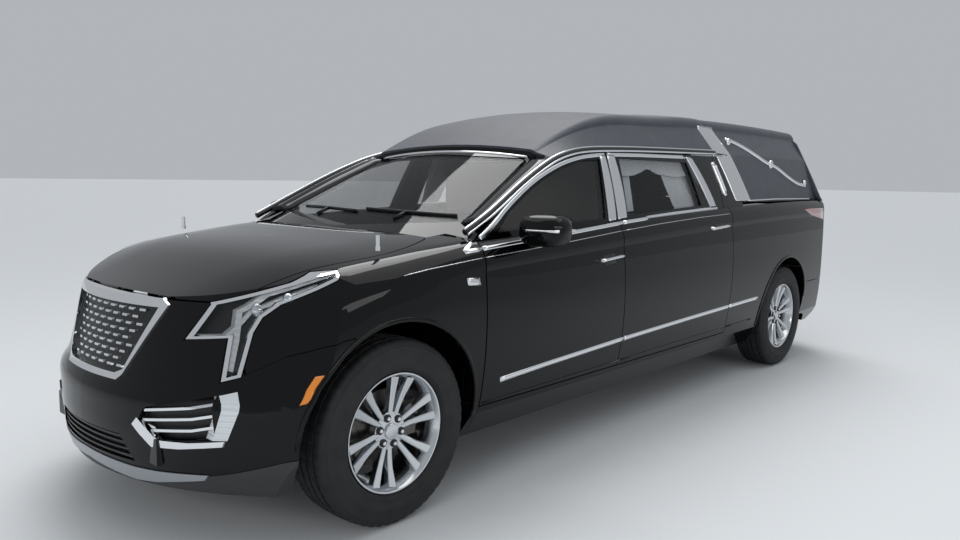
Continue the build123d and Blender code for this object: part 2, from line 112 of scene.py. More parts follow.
# Satin silver paint on the bumper's lower band
satinSilver, shader = newMaterial("satin silver enamel", "#a9adb1", 0.32, 0.85)
grain(satinSilver, shader, 2, 0.004)
# Tinted safety glass
glass, shader = newMaterial("tinted safety glass", "#0a0e10", 0.02, Alpha=0.30, Specular_IOR_Level=1.0)
grain(glass, shader, 400, 0.02)
# Clear glass of the windscreen and the curtained rear doors
clearGlass, shader = newMaterial("clear windscreen glass", "#0c1113", 0.02, Alpha=0.22,
                                 Specular_IOR_Level=1.0)
grain(clearGlass, shader, 400, 0.02)
# Black grained plastic
plastic, shader = newMaterial("black moulded plastic", "#101112", 0.42)
grain(plastic, shader, 2, 0.03)
# Dark grey satin plastic of the lower apron
greyPlastic, shader = newMaterial("satin grey moulded plastic", "#2b2c2e", 0.46)
grain(greyPlastic, shader, 2, 0.03)
# Clear moulded lamp lens
lens, shader = newMaterial("clear polycarbonate lens", "#10151a", 0.02, Alpha=0.14, Specular_IOR_Level=1.0)
grain(lens, shader, 60, 0.02)
# Red moulded lamp lens
redLens, shader = newMaterial("red acrylic lens", "#8e0b0d", 0.06, Transmission_Weight=0.25,
                              Coat_Weight=1.0)
grain(redLens, shader, 8, 0.08, "TexVoronoi", "Distance")
# Amber moulded marker lens
amberLens, shader = newMaterial("amber acrylic lens", "#e0821a", 0.08, Coat_Weight=1.0)
grain(amberLens, shader, 6, 0.08, "TexVoronoi", "Distance")
# Ribbed white lens over a bright reflector, in the bumper corners, headlamp blades and coach lamp
ribbedLens, shader = newMaterial("ribbed clear lens over plating", "#d9dee1", 0.10, 0.35, Coat_Weight=1.0)
ribPlace = addNode(ribbedLens, "TexCoord")
ribs = addNode(ribbedLens, "TexWave", {"Vector": ribPlace.outputs["Object"], "Scale": 1000 / 70},
               bands_direction="Z")
ribBump = addNode(ribbedLens, "Bump", {"Height": ribs.outputs["Fac"], "Distance": 0.002})
ribbedLens.node_tree.links.new(ribBump.outputs["Normal"], shader.inputs["Normal"])
# Bright reflector, vacuum plated
reflector, shader = newMaterial("vacuum plated reflector", "#c9ced3", 0.12, 1.0)
grain(reflector, shader, 12, 0.2, "TexVoronoi", "Distance")
# Tyre rubber, moulded
rubber, shader = newMaterial("moulded tyre rubber", "#17181a", 0.72)
mottle(rubber, shader, 60, ("#141517", "#1d1e20"))
grain(rubber, shader, 3, 0.06)
# Machined and lacquered alloy
alloy, shader = newMaterial("machined wheel alloy", "#cfd2d5", 0.18, 1.0)
grain(alloy, shader, 1.5, 0.006)
# Cast iron, turned
iron, shader = newMaterial("turned cast iron", "#6b6a68", 0.38, 1.0)
mottle(iron, shader, 30, ("#77736e", "#5f5c59"))
grain(iron, shader, 1, 0.02)
# Satin black chassis enamel
enamel, shader = newMaterial("chassis enamel", "#16171a", 0.5)
mottle(enamel, shader, 50, ("#141518", "#1c1d20"))
grain(enamel, shader, 5, 0.03)
# Cast alloy
castAlloy, shader = newMaterial("sand cast alloy", "#8d9092", 0.5, 1.0)
grain(castAlloy, shader, 2, 0.1)
# Black hide
hide, shader = newMaterial("black seat hide", "#17171a", 0.45)
mottle(hide, shader, 120, ("#151518", "#1d1d20"))
grain(hide, shader, 3, 0.15, "TexVoronoi", "Distance")
# Varnished walnut: streaks of darker grain run along the car
walnut, shader = newMaterial("varnished walnut", "#4a2c1a", 0.28, Coat_Weight=0.6)
place = addNode(walnut, "TexCoord")
stretch = addNode(walnut, "Mapping", {"Vector": place.outputs["Object"], "Scale": (0.06, 1.0, 1.0)})
streak = addNode(walnut, "TexNoise", {"Vector": stretch.outputs["Vector"], "Scale": 1000 / 14,
                                      "Detail": 6.0})
ramp = addNode(walnut, "ValToRGB", {"Fac": streak.outputs["Fac"]})
for element, colour, share in zip(ramp.color_ramp.elements, ("#2e180c", "#6b4428"), (0.35, 0.68)):
    element.color, element.position = hexLinear(colour), share
walnut.node_tree.links.new(ramp.outputs["Color"], shader.inputs["Base Color"])
# Woven trim cloth
cloth, shader = newMaterial("woven trim cloth", "#8b877f", 0.9, Sheen_Weight=0.2)
grain(cloth, shader, 1.5, 0.1)
# Pleated curtain voile, a pale grey blue
voile, shader = newMaterial("pleated curtain voile", "#e6ebef", 0.85, Sheen_Weight=0.3)
mottle(voile, shader, 150, ("#dfe5ea", "#eef1f4"))
grain(voile, shader, 1.2, 0.1)
# Mirror plate, silvered
silvered, shader = newMaterial("silvered mirror plate", "#dfe4e8", 0.02, 1.0)
grain(silvered, shader, 300, 0.003)

slotMaterials = {
    "paint": lacquer, "glass": glass, "vinyl": vinyl, "bright_trim": chrome, "black_plastic": plastic,
    "lamp": lens, "tyre": rubber, "alloy": alloy, "brake_iron": iron, "chassis_steel": enamel,
    "engine_alloy": castAlloy, "leather": hide, "dash_plastic": plastic, "wood_deck": walnut,
    "lining_fabric": cloth,
}
# Each solid of the part takes the finish of its slot
for entry in frame["record"]["subparts"]:
    solid = nodes[entry["node"]]
    solid.data.materials.clear()
    solid.data.materials.append(slotMaterials[entry["material_slot"]])
nodes["windscreen"].data.materials[0] = clearGlass
for side in ("left", "right"):
    nodes["glass_rear_" + side].data.materials[0] = clearGlass
print("materials on every solid")


# Trim is laid on the coach's own surface: a ray from the side finds where each point of a line sits
def surfaceOf(*names):
    vertices, faces = [], []
    for name in names:
        mesh = bpy.data.objects[name].data if name not in nodes else nodes[name].data
        start = len(vertices)
        vertices += [v.co.copy() for v in mesh.vertices]
        faces += [[start + i for i in p.vertices] for p in mesh.polygons]
    return BVHTree.FromPolygons(vertices, faces)


def seated(x, z):
    place, normal, _, _ = leftSide.ray_cast(Vector((x, 1.5, z)), Vector((0, -1, 0)))
    if place is None or place.y < 0.5:
        return None, None
    return place, normal if normal.y > 0 else -normal


def divided(points, step):
    # Points along a line at about the given spacing
    found = [Vector(points[0])]
    for start, end in zip(points, points[1:]):
        start, end = Vector(start), Vector(end)
        count = max(1, round((end - start).length / step))
        found += [start.lerp(end, i / count) for i in range(1, count + 1)]
    return found


def rounded(points, turns=2):
    # Corner cutting that keeps the ends
    points = [Vector(p) for p in points]
    for _ in range(turns):
        cut = [points[0]]
        for a, b in zip(points, points[1:]):
            cut += [a.lerp(b, 0.25), a.lerp(b, 0.75)]
        points = cut + [points[-1]]
    return points


def meshPiece(name, vertices, faces, material, body, smooth=True):
    mesh = bpy.data.meshes.new(name)
    mesh.from_pydata([tuple(v) for v in vertices], [], faces)
    mesh.validate()
    mesh.update()
    piece = bpy.data.objects.new(name, mesh)
    bpy.context.scene.collection.objects.link(piece)
    mesh.materials.append(material)
    if smooth:
        mesh.polygons.foreach_set("use_smooth", [True] * len(mesh.polygons))
    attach(piece, body)
    return piece


def tube(rings):
    # Faces between rings of equal count, with flat ends
    count = len(rings[0])
    vertices = [v for ring in rings for v in ring]
    faces = []
    for r in range(len(rings) - 1):
        for i in range(count):
            j = (i + 1) % count
            faces.append((r * count + i, r * count + j, (r + 1) * count + j, (r + 1) * count + i))
    faces.append(tuple(reversed(range(count))))
    faces.append(tuple(range((len(rings) - 1) * count, len(rings) * count)))
    return vertices, faces


def stripRings(places, half, proud, reach, facing, bed=0.003, sides=7):
    # Sections of a domed strip along seated places; reach smooths the normals, facing is the axis outward
    rings = []
    for i, (place, _) in enumerate(places):
        around = [places[k][1] for k in range(max(0, i - reach), min(len(places), i + reach + 1))]
        upward = sum(around, Vector()) / len(around)
        ahead = places[min(i + 1, len(places) - 1)][0] - places[max(i - 1, 0)][0]
        across = ahead.cross(upward).normalized()
        upward = across.cross(ahead).normalized()
        if upward[facing] < 0:
            upward = -upward
        ring = [place - upward * bed + across * half]
        for k in range(sides):
            turn = math.pi * k / (sides - 1)
            ring.append(place + across * half * math.cos(turn) + upward * proud * math.sin(turn) ** 0.6)
        ring.append(place - upward * bed - across * half)
        rings.append(ring)
    return rings


def bothSides(name, vertices, faces, material, body):
    meshPiece(name + "Left", vertices, faces, material, body.replace("SIDE", "left"))
    mirrored = [(v[0], -v[1], v[2]) for v in vertices]
    meshPiece(name + "Right", mirrored, [tuple(reversed(f)) for f in faces], material,
              body.replace("SIDE", "right"))


def moulding(name, points, half, proud, material, body, step=0.03):
    places = [seated(x, z) for x, z in divided(points, step)]
    rings = stripRings([p for p in places if p[0] is not None], half, proud, 2, 1)
    bothSides(name, *tube(rings), material, body)


def within(outline, down, across):
    # A point between four corners, the first pair along the top
    (ax, az), (bx, bz), (cx, cz), (dx, dz) = outline
    return ((ax + (bx - ax) * across) * (1 - down) + (dx + (cx - dx) * across) * down,
            (az + (bz - az) * across) * (1 - down) + (dz + (cz - dz) * across) * down)


def ruledBand(name, outline, proud, material, body, rows=16, swell=0.008):
    # A cover ruled between four seated corners, so that it bridges the steps between frame and glass
    corners = []
    for x, z in outline:
        place, _ = seated(x, z)
        corners.append(place if place is not None else Vector((x, 0.85, z)))
    rings = []
    for r in range(rows + 1):
        t = r / rows
        front, rear = corners[0].lerp(corners[3], t), corners[1].lerp(corners[2], t)
        lift = Vector((0, proud + 4 * t * (1 - t) * swell, 0.25 * proud))
        edge = Vector((0, 4 * t * (1 - t) * swell, 0))
        ring = [front - Vector((0, 0.004, 0)), front + edge + lift * 0.55]
        ring += [front.lerp(rear, s) + lift for s in (0.08, 0.35, 0.65, 0.92)]
        ring += [rear + edge + lift * 0.55, rear - Vector((0, 0.004, 0))]
        rings.append(ring)
    bothSides(name, *tube(rings), material, body)


def band(name, outline, proud, material, body, rows=14):
    # A thin cover over a four-cornered patch of the side: corners as (x, z), first pair along the top
    columns = 4
    grid = []
    for r in range(rows + 1):
        line = []
        for c in range(columns + 1):
            x, z = within(outline, r / rows, c / columns)
            place, normal = seated(x, z)
            if place is None:
                place, normal = Vector((x, 0.9, z)), Vector((0, 1, 0))
            line.append((place, normal))
        grid.append(line)
    rings = []
    for line in grid:
        outward = sum((n for _, n in line), Vector()).normalized()
        ring = [line[0][0] - outward * 0.004]
        for c, (place, _) in enumerate(line):
            lift = proud if 0 < c < columns else proud * 0.55
            ring.append(place + outward * lift)
        ring.append(line[-1][0] - outward * 0.004)
        rings.append(ring)
    bothSides(name, *tube(rings), material, body)


# The front of the car is cut from two blocks: a lofted body and a bowed nose, both in millimetres
# Stations: place, half width at sill, waist, under the crease, crease, crease height, half width and
# height of the fold in the top, height of the middle
frontStations = [
    (3060, 850, 885, 800, 620, 800, 330, 838, 850),
    (2650, 885, 925, 880, 705, 915, 392, 950, 958),
    (2300, 892, 942, 922, 770, 1035, 455, 1068, 1076),
    (1900, 898, 950, 940, 830, 1090, 515, 1122, 1131),
    (1545, 905, 952, 942, 885, 1118, 560, 1157, 1168),
]
noseShape = {
    "axis": 1630, "sill": 235, "sillTop": 355, "waist": 700, "tuck": 75, "underDrop": 125, "skin": 22,
    # Radius and height up the nose, then half width and place round the corner in plan
    "profile": [(1150, 168), (1222, 188), (1225, 205), (1205, 222), (1215, 240), (1240, 330), (1250, 440),
                (1250, 560), (1244, 582), (1212, 632), (1137, 925), (1075, 1010), (800, 1400)],
    "plan": [(530, 3125), (590, 2740), (640, 2712), (690, 2680), (735, 2649), (775, 2615), (840, 2553),
             (889, 2497), (930, 2425), (960, 2355), (970, 600)],
}
# Degrees between faces above which an edge stays sharp
sharpEdge = {"panel": 28, "wheel": 32}
blanks = []


def arcThrough(a, m, b, count):
    # Points from a to b on the circle through m
    ax, ay, mx, my, bx, by = *a, *m, *b
    d = 2 * (ax * (my - by) + mx * (by - ay) + bx * (ay - my))
    if abs(d) < 1e-6:
        return [(ax + (bx - ax) * i / count, ay + (by - ay) * i / count) for i in range(1, count + 1)]
    sa, sm, sb = ax * ax + ay * ay, mx * mx + my * my, bx * bx + by * by
    cx = (sa * (my - by) + sm * (by - ay) + sb * (ay - my)) / d
    cy = (sa * (bx - mx) + sm * (ax - bx) + sb * (mx - ax)) / d
    radius = math.hypot(ax - cx, ay - cy)
    start, end = math.atan2(ay - cy, ax - cx), math.atan2(by - cy, bx - cx)
    turn = (end - start + math.pi) % (2 * math.pi) - math.pi
    return [(cx + radius * math.cos(start + turn * i / count),
             cy + radius * math.sin(start + turn * i / count)) for i in range(1, count + 1)]


def stationAt(x):
    # A smooth row between the stations, by cubic steps
    rows = frontStations
    for i in range(len(rows) - 1):
        if rows[i + 1][0] <= x <= rows[i][0]:
            break
    before, after = rows[max(i - 1, 0)], rows[min(i + 2, len(rows) - 1)]
    a, b = rows[i], rows[i + 1]
    span = b[0] - a[0]
    t = (x - a[0]) / span
    found = []
    for k in range(1, len(a)):
        slopeA = (b[k] - before[k]) / (b[0] - before[0]) * span
        slopeB = (after[k] - a[k]) / (after[0] - a[0]) * span
        found.append((2 * t ** 3 - 3 * t ** 2 + 1) * a[k] + (t ** 3 - 2 * t ** 2 + t) * slopeA
                     + (3 * t ** 2 - 2 * t ** 3) * b[k] + (t ** 3 - t ** 2) * slopeB)
    return found


def bodySection(x, inset):
    sill, waist, under, crease, creaseZ, fold, foldZ, top = stationAt(x)
    sill, waist, under, crease = sill - inset, waist - inset, under - inset, crease - inset
    creaseZ, foldZ, top = creaseZ - inset, foldZ - inset, top - inset
    underZ = creaseZ - noseShape["underDrop"]
    half = [(sill - noseShape["tuck"], noseShape["sill"]), (sill, noseShape["sillTop"])]
    half += arcThrough(half[-1], (waist, noseShape["waist"]), (under, underZ), 12)
    half += arcThrough(half[-1], (crease + (under - crease) * 0.72, underZ + noseShape["underDrop"] * 0.66),
                       (crease, creaseZ), 6)
    half += arcThrough(half[-1], ((crease + fold) / 2, (creaseZ + foldZ) / 2 + 5), (fold, foldZ), 6)
    half += arcThrough(half[-1], (0, top), (-fold, foldZ), 24)[:12]
    return half


def solidFrom(vertices, faces):
    # A closed blank for cutting; millimetres turn to metres here
    mesh = bpy.data.meshes.new("blank")
    mesh.from_pydata([tuple(c / 1000 for c in v) for v in vertices], [], faces)
    shape = bmesh.new()
    shape.from_mesh(mesh)
    bmesh.ops.remove_doubles(shape, verts=shape.verts, dist=1e-6)
    bmesh.ops.recalc_face_normals(shape, faces=shape.faces)
    shape.to_mesh(mesh)
    shape.free()
    blank = bpy.data.objects.new("blank", mesh)
    bpy.context.scene.collection.objects.link(blank)
    blanks.append(blank)
    return blank


def bodyBlock(inset):
    rings = []
    for i in range(39):
        x = 1546 + (3059 - 1546) * i / 38
        half = bodySection(x, inset)
        rings.append([(x, y, z) for y, z in half] + [(x, -y, z) for y, z in reversed(half[:-1])])
    return solidFrom(*tube(rings))


def noseBlock(inset):
    rings = []
    heights = []
    for (ra, za), (rb, zb) in zip(noseShape["profile"], noseShape["profile"][1:]):
        count = max(1, round((zb - za) / 32))
        heights += [(ra + (rb - ra) * i / count, za + (zb - za) * i / count) for i in range(count)]
    heights.append(noseShape["profile"][-1])
    plan = noseShape["plan"]
    for radius, z in heights:
        ring = [(1400, 970 - inset, z)]
        for i in range(0, 65):
            y = (960 - inset) * math.cos(math.pi * i / 64)
            bow = noseShape["axis"] + math.sqrt(max((radius - inset) ** 2 - y * y, 1))
            reach, limit = abs(y) + inset, 3125 - inset
            for (ya, xa), (yb, xb) in zip(plan, plan[1:]):
                if ya <= reach <= yb:
                    limit = xa + (xb - xa) * (reach - ya) / (yb - ya) - inset * 0.3
            ring.append((min(bow, limit), y, z))
        ring.append((1400, inset - 970, z))
        rings.append(ring)
    return solidFrom(*tube(rings))


def prism(points, along, low, high):
    # A zone for cutting: an outline seen along one axis, carried between two places on it
    if along == "x":
        rings = [[(at, a, b) for a, b in points] for at in (low, high)]
    elif along == "y":
        rings = [[(a, at, b) for a, b in points] for at in (low, high)]
    else:
        rings = [[(a, b, at) for a, b in points] for at in (low, high)]
    return solidFrom(*tube(rings))


def boxZone(x0, x1, y0, y1, z0, z1):
    return prism([(x0, y0), (x1, y0), (x1, y1), (x0, y1)], "z", z0, z1)


def carved(base, keep=(), drop=()):
    # What is left of a blank inside every zone kept and outside every zone dropped
    work = bpy.data.objects.new("blank", base.data.copy())
    bpy.context.scene.collection.objects.link(work)
    for way, zones in (("INTERSECT", keep), ("DIFFERENCE", drop)):
        for zone in zones:
            step = work.modifiers.new("carve", "BOOLEAN")
            step.operation, step.object, step.solver = way, zone, "EXACT"
    bpy.context.view_layer.update()
    mesh = bpy.data.meshes.new_from_object(work.evaluated_get(bpy.context.evaluated_depsgraph_get()))
    work.modifiers.clear()
    work.data = mesh
    blanks.append(work)
    return work


def finished(name, solid, material, body, replaced=()):
    # A carved blank becomes a piece: smooth where it curves, sharp at its edges
    mesh = solid.data.copy()
    piece = bpy.data.objects.new(name, mesh)
    bpy.context.scene.collection.objects.link(piece)
    mesh.materials.clear()
    mesh.materials.append(material)
    mesh.polygons.foreach_set("material_index", [0] * len(mesh.polygons))
    mesh.polygons.foreach_set("use_smooth", [True] * len(mesh.polygons))
    mesh.set_sharp_from_angle(angle=math.radians(sharpEdge["panel"]))
    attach(piece, body)
    if replaced:
        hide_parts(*replaced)
    return piece


def both(solid):
    # The blank and its mirror image as one
    mesh = solid.data.copy()
    shape = bmesh.new()
    shape.from_mesh(mesh)
    made = bmesh.ops.duplicate(shape, geom=shape.verts[:] + shape.edges[:] + shape.faces[:])
    for item in made["geom"]:
        if isinstance(item, bmesh.types.BMVert):
            item.co.y = -item.co.y
    bmesh.ops.reverse_faces(shape, faces=[f for f in made["geom"] if isinstance(f, bmesh.types.BMFace)])
    shape.to_mesh(mesh)
    shape.free()
    pair = bpy.data.objects.new("blank", mesh)
    bpy.context.scene.collection.objects.link(pair)
    blanks.append(pair)
    return pair


def ribbon(points, half):
    # Outline of a strip of even width along a line of points
    upper, lower = [], []
    for i, (xb, yb) in enumerate(points):
        (xa, ya), (xc, yc) = points[max(i - 1, 0)], points[min(i + 1, len(points) - 1)]
        length = math.hypot(xc - xa, yc - ya)
        nx, ny = (ya - yc) / length * half, (xc - xa) / length * half
        upper.append((xb + nx, yb + ny))
        lower.append((xb - nx, yb - ny))
    return upper + lower[::-1]


def grownOutline(points, amount):
    # The outline moved out by an even amount
    count = len(points)
    area = sum(points[i - 1][0] * points[i][1] - points[i][0] * points[i - 1][1] for i in range(count))
    way = amount if area > 0 else -amount
    moved = []
    for i in range(count):
        (xa, ya), (xb, yb), (xc, yc) = points[i - 1], points[i], points[(i + 1) % count]
        la, lc = math.hypot(xb - xa, yb - ya), math.hypot(xc - xb, yc - yb)
        na, nc = ((yb - ya) / la, (xa - xb) / la), ((yc - yb) / lc, (xb - xc) / lc)
        share = way / max(1 + na[0] * nc[0] + na[1] * nc[1], 0.35)
        moved.append((xb + (na[0] + nc[0]) * share, yb + (na[1] + nc[1]) * share))
    return moved


# Outlines of the nose: side views as (x, z), front views as (y, z)
noseSeam = [(2255, 800), (2305, 795), (2370, 780), (2478, 747), (2585, 681), (2575, 830), (2614, 928)]
lampSide = [(2614, 930), (2312, 1034), (2244, 1042), (2274, 1011), (2346, 978), (2464, 928), (2514, 883),
            (2544, 829), (2596, 673), (2642, 653), (2602, 807), (2690, 793)]
cornerLampSide = [(2658, 608), (2613, 623), (2655, 451), (2687, 448)]
apronSide = [(2265, 100), (2265, 385), (2501, 378), (2529, 371), (2702, 300), (2885, 262), (3025, 262),
             (3025, 100)]
grilleOuter = [(-369, 932), (369, 932), (404, 910), (252, 642), (228, 618), (-228, 618), (-252, 642),
               (-404, 910)]
grilleInner = [(-362, 898), (362, 898), (246, 657), (204, 640), (-204, 640), (-246, 657)]
intake = [(406, 543), (664, 607), (676, 448), (449, 421), (376, 496)]
slatLines = [[(398, 530), (584, 558), (680, 582)], [(390, 492), (591, 518), (684, 541)],
             [(428, 457), (590, 475), (680, 498)]]
hockeyStick = [(375, 501), (466, 427), (588, 432), (710, 449), (702, 428), (549, 404), (434, 397),
               (349, 472)]
lowerGrille = [(-270, 420), (270, 420), (338, 322), (-338, 322)]
skidHalf = [(330, 298), (440, 300), (640, 312), (620, 289), (418, 251), (314, 242)]
skidBand = [(0, 310)] + skidHalf + [(0, 265)] + [(-y, z) for y, z in reversed(skidHalf)]
hood = {"low": 932, "half": 705, "mid": 786, "front": 765}


def hoodZone(grow):
    half, mid, ahead = hood["half"] + grow, hood["mid"] + grow, hood["front"] + grow
    left = [(2825, 596), (2625, 596), (2515, 672 + grow), (2345, 716 + grow), (2176, ahead)]
    left += arcThrough((2176, ahead), (1915, mid), (1670 - grow, half), 8)
    rear = arcThrough((1670 - grow, half), (1730 - grow, 0), (1670 - grow, -half), 12)[:-1]
    right = [(x, -y) for x, y in reversed(left)]
    return prism(left + rear + right, "z", hood["low"], 1400)


blocks = {}


def frontBlock(inset):
    if inset not in blocks:
        blocks[inset] = carved(bodyBlock(inset), keep=[noseBlock(inset)])
    return blocks[inset]


def onNose(zone, outer, inner, drop=()):
    # The nose's skin inside a zone, between two depths
    return carved(frontBlock(outer), keep=[zone], drop=[frontBlock(inner), *drop])


# How far each kind of outline is carried along its axis, in millimetres
reach = {"front": ("x", 2325, 3100), "grille": ("x", 2400, 3100), "lower": ("x", 2425, 3100),
         "outer": ("y", 400, 1100), "whole": ("y", -10, 1100)}
archCut = {"x": 2030, "z": 385, "radius": 450, "sides": 48}
shell = carved(frontBlock(0), drop=[frontBlock(noseShape["skin"])])
leftShell = carved(shell, keep=[boxZone(1300, 3100, 0, 1000, 90, 1400)])
archTurns = [2 * math.pi * t / archCut["sides"] for t in range(archCut["sides"])]
archZone = prism([(archCut["x"] + archCut["radius"] * math.cos(t),
                   archCut["z"] + archCut["radius"] * math.sin(t)) for t in archTurns], "y", 300, 1100)
lampZone = prism(lampSide, *reach["outer"])
lampGap = prism(grownOutline(lampSide, 3), *reach["outer"])
lampCore = prism(grownOutline(lampSide, -9), *reach["outer"])
grilleZone = prism(grilleOuter, *reach["grille"])
grilleGap = boxZone(2425, 3100, -412, 412, 600, 938)
seamUp = [(x - 2, z + 2) for x, z in noseSeam]
seamDown = [(x + 2, z - 2) for x, z in noseSeam]
fenderZone = prism(seamUp + [(2612, 1400), (1500, 1400), (1500, 10), (2253, 10)], "y", 200, 1100)
bumperZone = prism(seamDown + [(3025, 928), (3025, 100), (2257, 100)], *reach["whole"])
apronZone = prism(apronSide, *reach["whole"])
apronGap = prism(grownOutline(apronSide, 3), *reach["whole"])
cornerZone = prism(cornerLampSide, *reach["outer"])
intakeZone = prism(intake, *reach["front"])
stickZone = prism(hockeyStick, *reach["front"])
lowerZone = prism(lowerGrille, *reach["lower"])
skidZone = prism(skidBand, *reach["lower"])
cowlPlan = boxZone(1400, 1755, -702, 702, 1000, 1400)
print("front blocks ready")

hoodPanel = carved(leftShell, keep=[hoodZone(-3)], drop=[grilleGap, lampGap])
finished("hoodPanel", both(hoodPanel), lacquer, "bonnet", ("bonnet",))
fenderPanel = carved(leftShell, keep=[fenderZone], drop=[hoodZone(3), lampGap, cowlPlan, archZone])
for side, sign in (("left", 1), ("right", -1)):
    panel = finished("fenderPanel" + side.title(), fenderPanel, lacquer, "coach", ("fender_" + side,))
    if sign < 0:
        panel.data.transform(Matrix.Scale(-1, 4, (0, 1, 0)))
        panel.data.flip_normals()
bumperHoles = [grilleZone, apronGap, lampGap, cornerZone, intakeZone, stickZone, archZone, lowerZone,
               skidZone]
bumperPanel = carved(leftShell, keep=[bumperZone], drop=bumperHoles)
finished("bumperPanel", both(bumperPanel), lacquer, "coach", ("bumper_front",))
apron = carved(leftShell, keep=[apronZone], drop=[archZone, skidZone])
finished("apron", both(apron), greyPlastic, "coach")
print("front panels cut")

finished("skidBand", onNose(skidZone, -5, 14), satinSilver, "coach")
finished("hockeySticks", both(onNose(stickZone, -5, 14, [cornerZone])), chrome, "coach")
slats = [both(onNose(prism(ribbon(line, 5), *reach["front"]), 6, 14, [cornerZone])) for line in slatLines]
for i, slat in enumerate(slats):
    finished("intakeSlat%d" % (i + 1), slat, chrome, "coach")
finished("intakeBack", both(onNose(intakeZone, 34, 40)), plastic, "coach")
finished("lowerBack", onNose(lowerZone, 34, 40), plastic, "coach")
for i, z in enumerate((338, 362, 386, 408)):
    bar = onNose(carved(boxZone(2425, 3100, -340, 340, z - 4, z + 4), keep=[lowerZone]), 6, 22)
    finished("lowerSlat%d" % (i + 1), bar, plastic, "coach")
finished("cornerLamps", both(onNose(cornerZone, 0, 22)), ribbedLens, "coach")
print("bumper fitted")

# Grille: a leaning shield frame round a mesh that carries staggered rows of short bright bars
grille = {"rows": 9, "rowPitch": 27, "dashPitch": 66, "dash": 36, "first": 662, "halfWidth": 214,
          "widthAt": 657, "widening": 0.48, "foot": (1212, 632), "head": (1137, 925)}
lean = -(grille["foot"][0] - grille["head"][0]) / (grille["head"][1] - grille["foot"][1])
hole = prism(grilleInner, *reach["grille"])
frameRing = carved(noseBlock(-8), keep=[grilleZone], drop=[noseBlock(37), hole])
finished("grilleShield", frameRing, chrome, "coach", ("grille_frame",))
mesh = carved(noseBlock(20), keep=[hole], drop=[noseBlock(28)])
finished("grilleMesh", mesh, plastic, "coach", ("grille_mesh",))
vertices, faces = [], []
for row in range(grille["rows"]):
    z = grille["first"] + row * grille["rowPitch"]
    width = grille["halfWidth"] + (z - grille["widthAt"]) * grille["widening"]
    for step in range(-6, 7):
        y = step * grille["dashPitch"] + (row % 2) * grille["dashPitch"] / 2
        if abs(y) + grille["dash"] / 2 >= width:
            continue
        radius = grille["foot"][0] + (z - grille["foot"][1]) * lean
        start = len(vertices)
        # Each bar tapers a little from its back to its face: depth, end taken off, half height
        for depth, ends, high in ((8, 1.5, 4.6), (22, 0, 5.4)):
            for dy, dz in ((-1, -1), (1, -1), (1, 1), (-1, 1)):
                yy, zz = y + dy * (grille["dash"] / 2 - ends), z + dz * high
                r = radius + dz * 4 * lean - depth
                vertices.append((noseShape["axis"] + math.sqrt(r * r - yy * yy), yy, zz))
        for face in ((0, 1, 2, 3), (4, 7, 6, 5), (0, 4, 5, 1), (1, 5, 6, 2), (2, 6, 7, 3), (3, 7, 4, 0)):
            faces.append(tuple(start + k for k in face))
meshPiece("grilleDashes", [tuple(c / 1000 for c in v) for v in vertices], faces, chrome, "coach", False)
print("grille fitted")

# Headlamps: a bright frame round a clear lens over a dark housing with two round projectors
finished("lampFrame", both(carved(onNose(lampZone, 0, 14), drop=[lampCore])), chrome, "coach")
finished("lampLens", both(onNose(lampCore, 0, 3)), lens, "coach", ("headlamps",))
finished("lampHousing", both(onNose(lampCore, 30, 36)), plastic, "coach")
# Lit blades: name, line as (x, z), half width, and the depths between which each stands
bladeLine = [(2258, 1036), (2326, 1016), (2480, 960), (2560, 900), (2583, 800), (2614, 690)]
innerLine = [(2330, 990), (2440, 948), (2530, 905), (2572, 845), (2600, 812), (2655, 806)]
for name, line, half, outer, inner in (("lampBlade", bladeLine, 7, 6, 20),
                                       ("lampInnerBlade", innerLine, 5, 8, 22)):
    zone = prism(ribbon(line, half), *reach["outer"])
    finished(name, both(carved(onNose(lampCore, outer, inner), keep=[zone])), ribbedLens, "coach")
# Round projectors as (x, y, z, radius)
for i, (x, y, z, r) in enumerate([(2508, 690, 905, 27), (2430, 770, 948, 20)]):
    rings = []
    for k in range(13):
        t = math.pi * (0.02 + 0.96 * k / 12)
        ring = [(r * math.cos(t), r * math.sin(t) * math.cos(a), r * math.sin(t) * math.sin(a))
                for a in (n * math.pi / 12 for n in range(24))]
        rings.append([((x + dx) / 1000, (y + dy) / 1000, (z + dz) / 1000) for dx, dy, dz in ring])
    bothSides("projector%d" % (i + 1), *tube(rings), reflector, "coach")
print("lamps fitted")

leftSide = surfaceOf("door_front_left", "door_rear_left", "body", "fenderPanelLeft", "vinyl_roof",
                     "bumperPanel", "glass_front_left", "glass_rear_left")


# Side mouldings, as (x, z) lines in metres; where a line crosses a seam it is cut there
seams = {"a": 1.542, "b": 0.4025, "c": -0.895, "gap": 0.004}
beltLine = [(1.648, 1.081), (1.511, 1.092), (1.336, 1.104), (1.129, 1.117), (0.886, 1.132), (0.555, 1.155),
            (0.326, 1.171), (0.068, 1.185), (-0.209, 1.199), (-0.556, 1.212), (-0.790, 1.219)]
lowerLine = [(1.427, 0.490), (1.096, 0.507), (0.384, 0.534), (-0.358, 0.554), (-1.337, 0.577)]
surroundFront = [(1.510, 1.130), (1.395, 1.190), (1.280, 1.262), (1.039, 1.381), (0.855, 1.449),
                 (0.725, 1.487), (0.585, 1.515), (0.425, 1.530), (0.370, 1.532)]
surroundRear = [(0.343, 1.534), (-0.025, 1.541), (-0.545, 1.545)]


def between(line, high, low):
    # The stretch of a line from one x down to another
    def at(x):
        for (xa, za), (xb, zb) in zip(line, line[1:]):
            if xb <= x <= xa:
                return (x, za + (zb - za) * (xa - x) / (xa - xb))
        return line[-1]
    inside = [p for p in line if low < p[0] < high]
    first = line[0] if line[0][0] <= high else at(high)
    last = line[-1] if line[-1][0] >= low else at(low)
    return [first] + [p for p in inside if p != first and p != last] + [last]


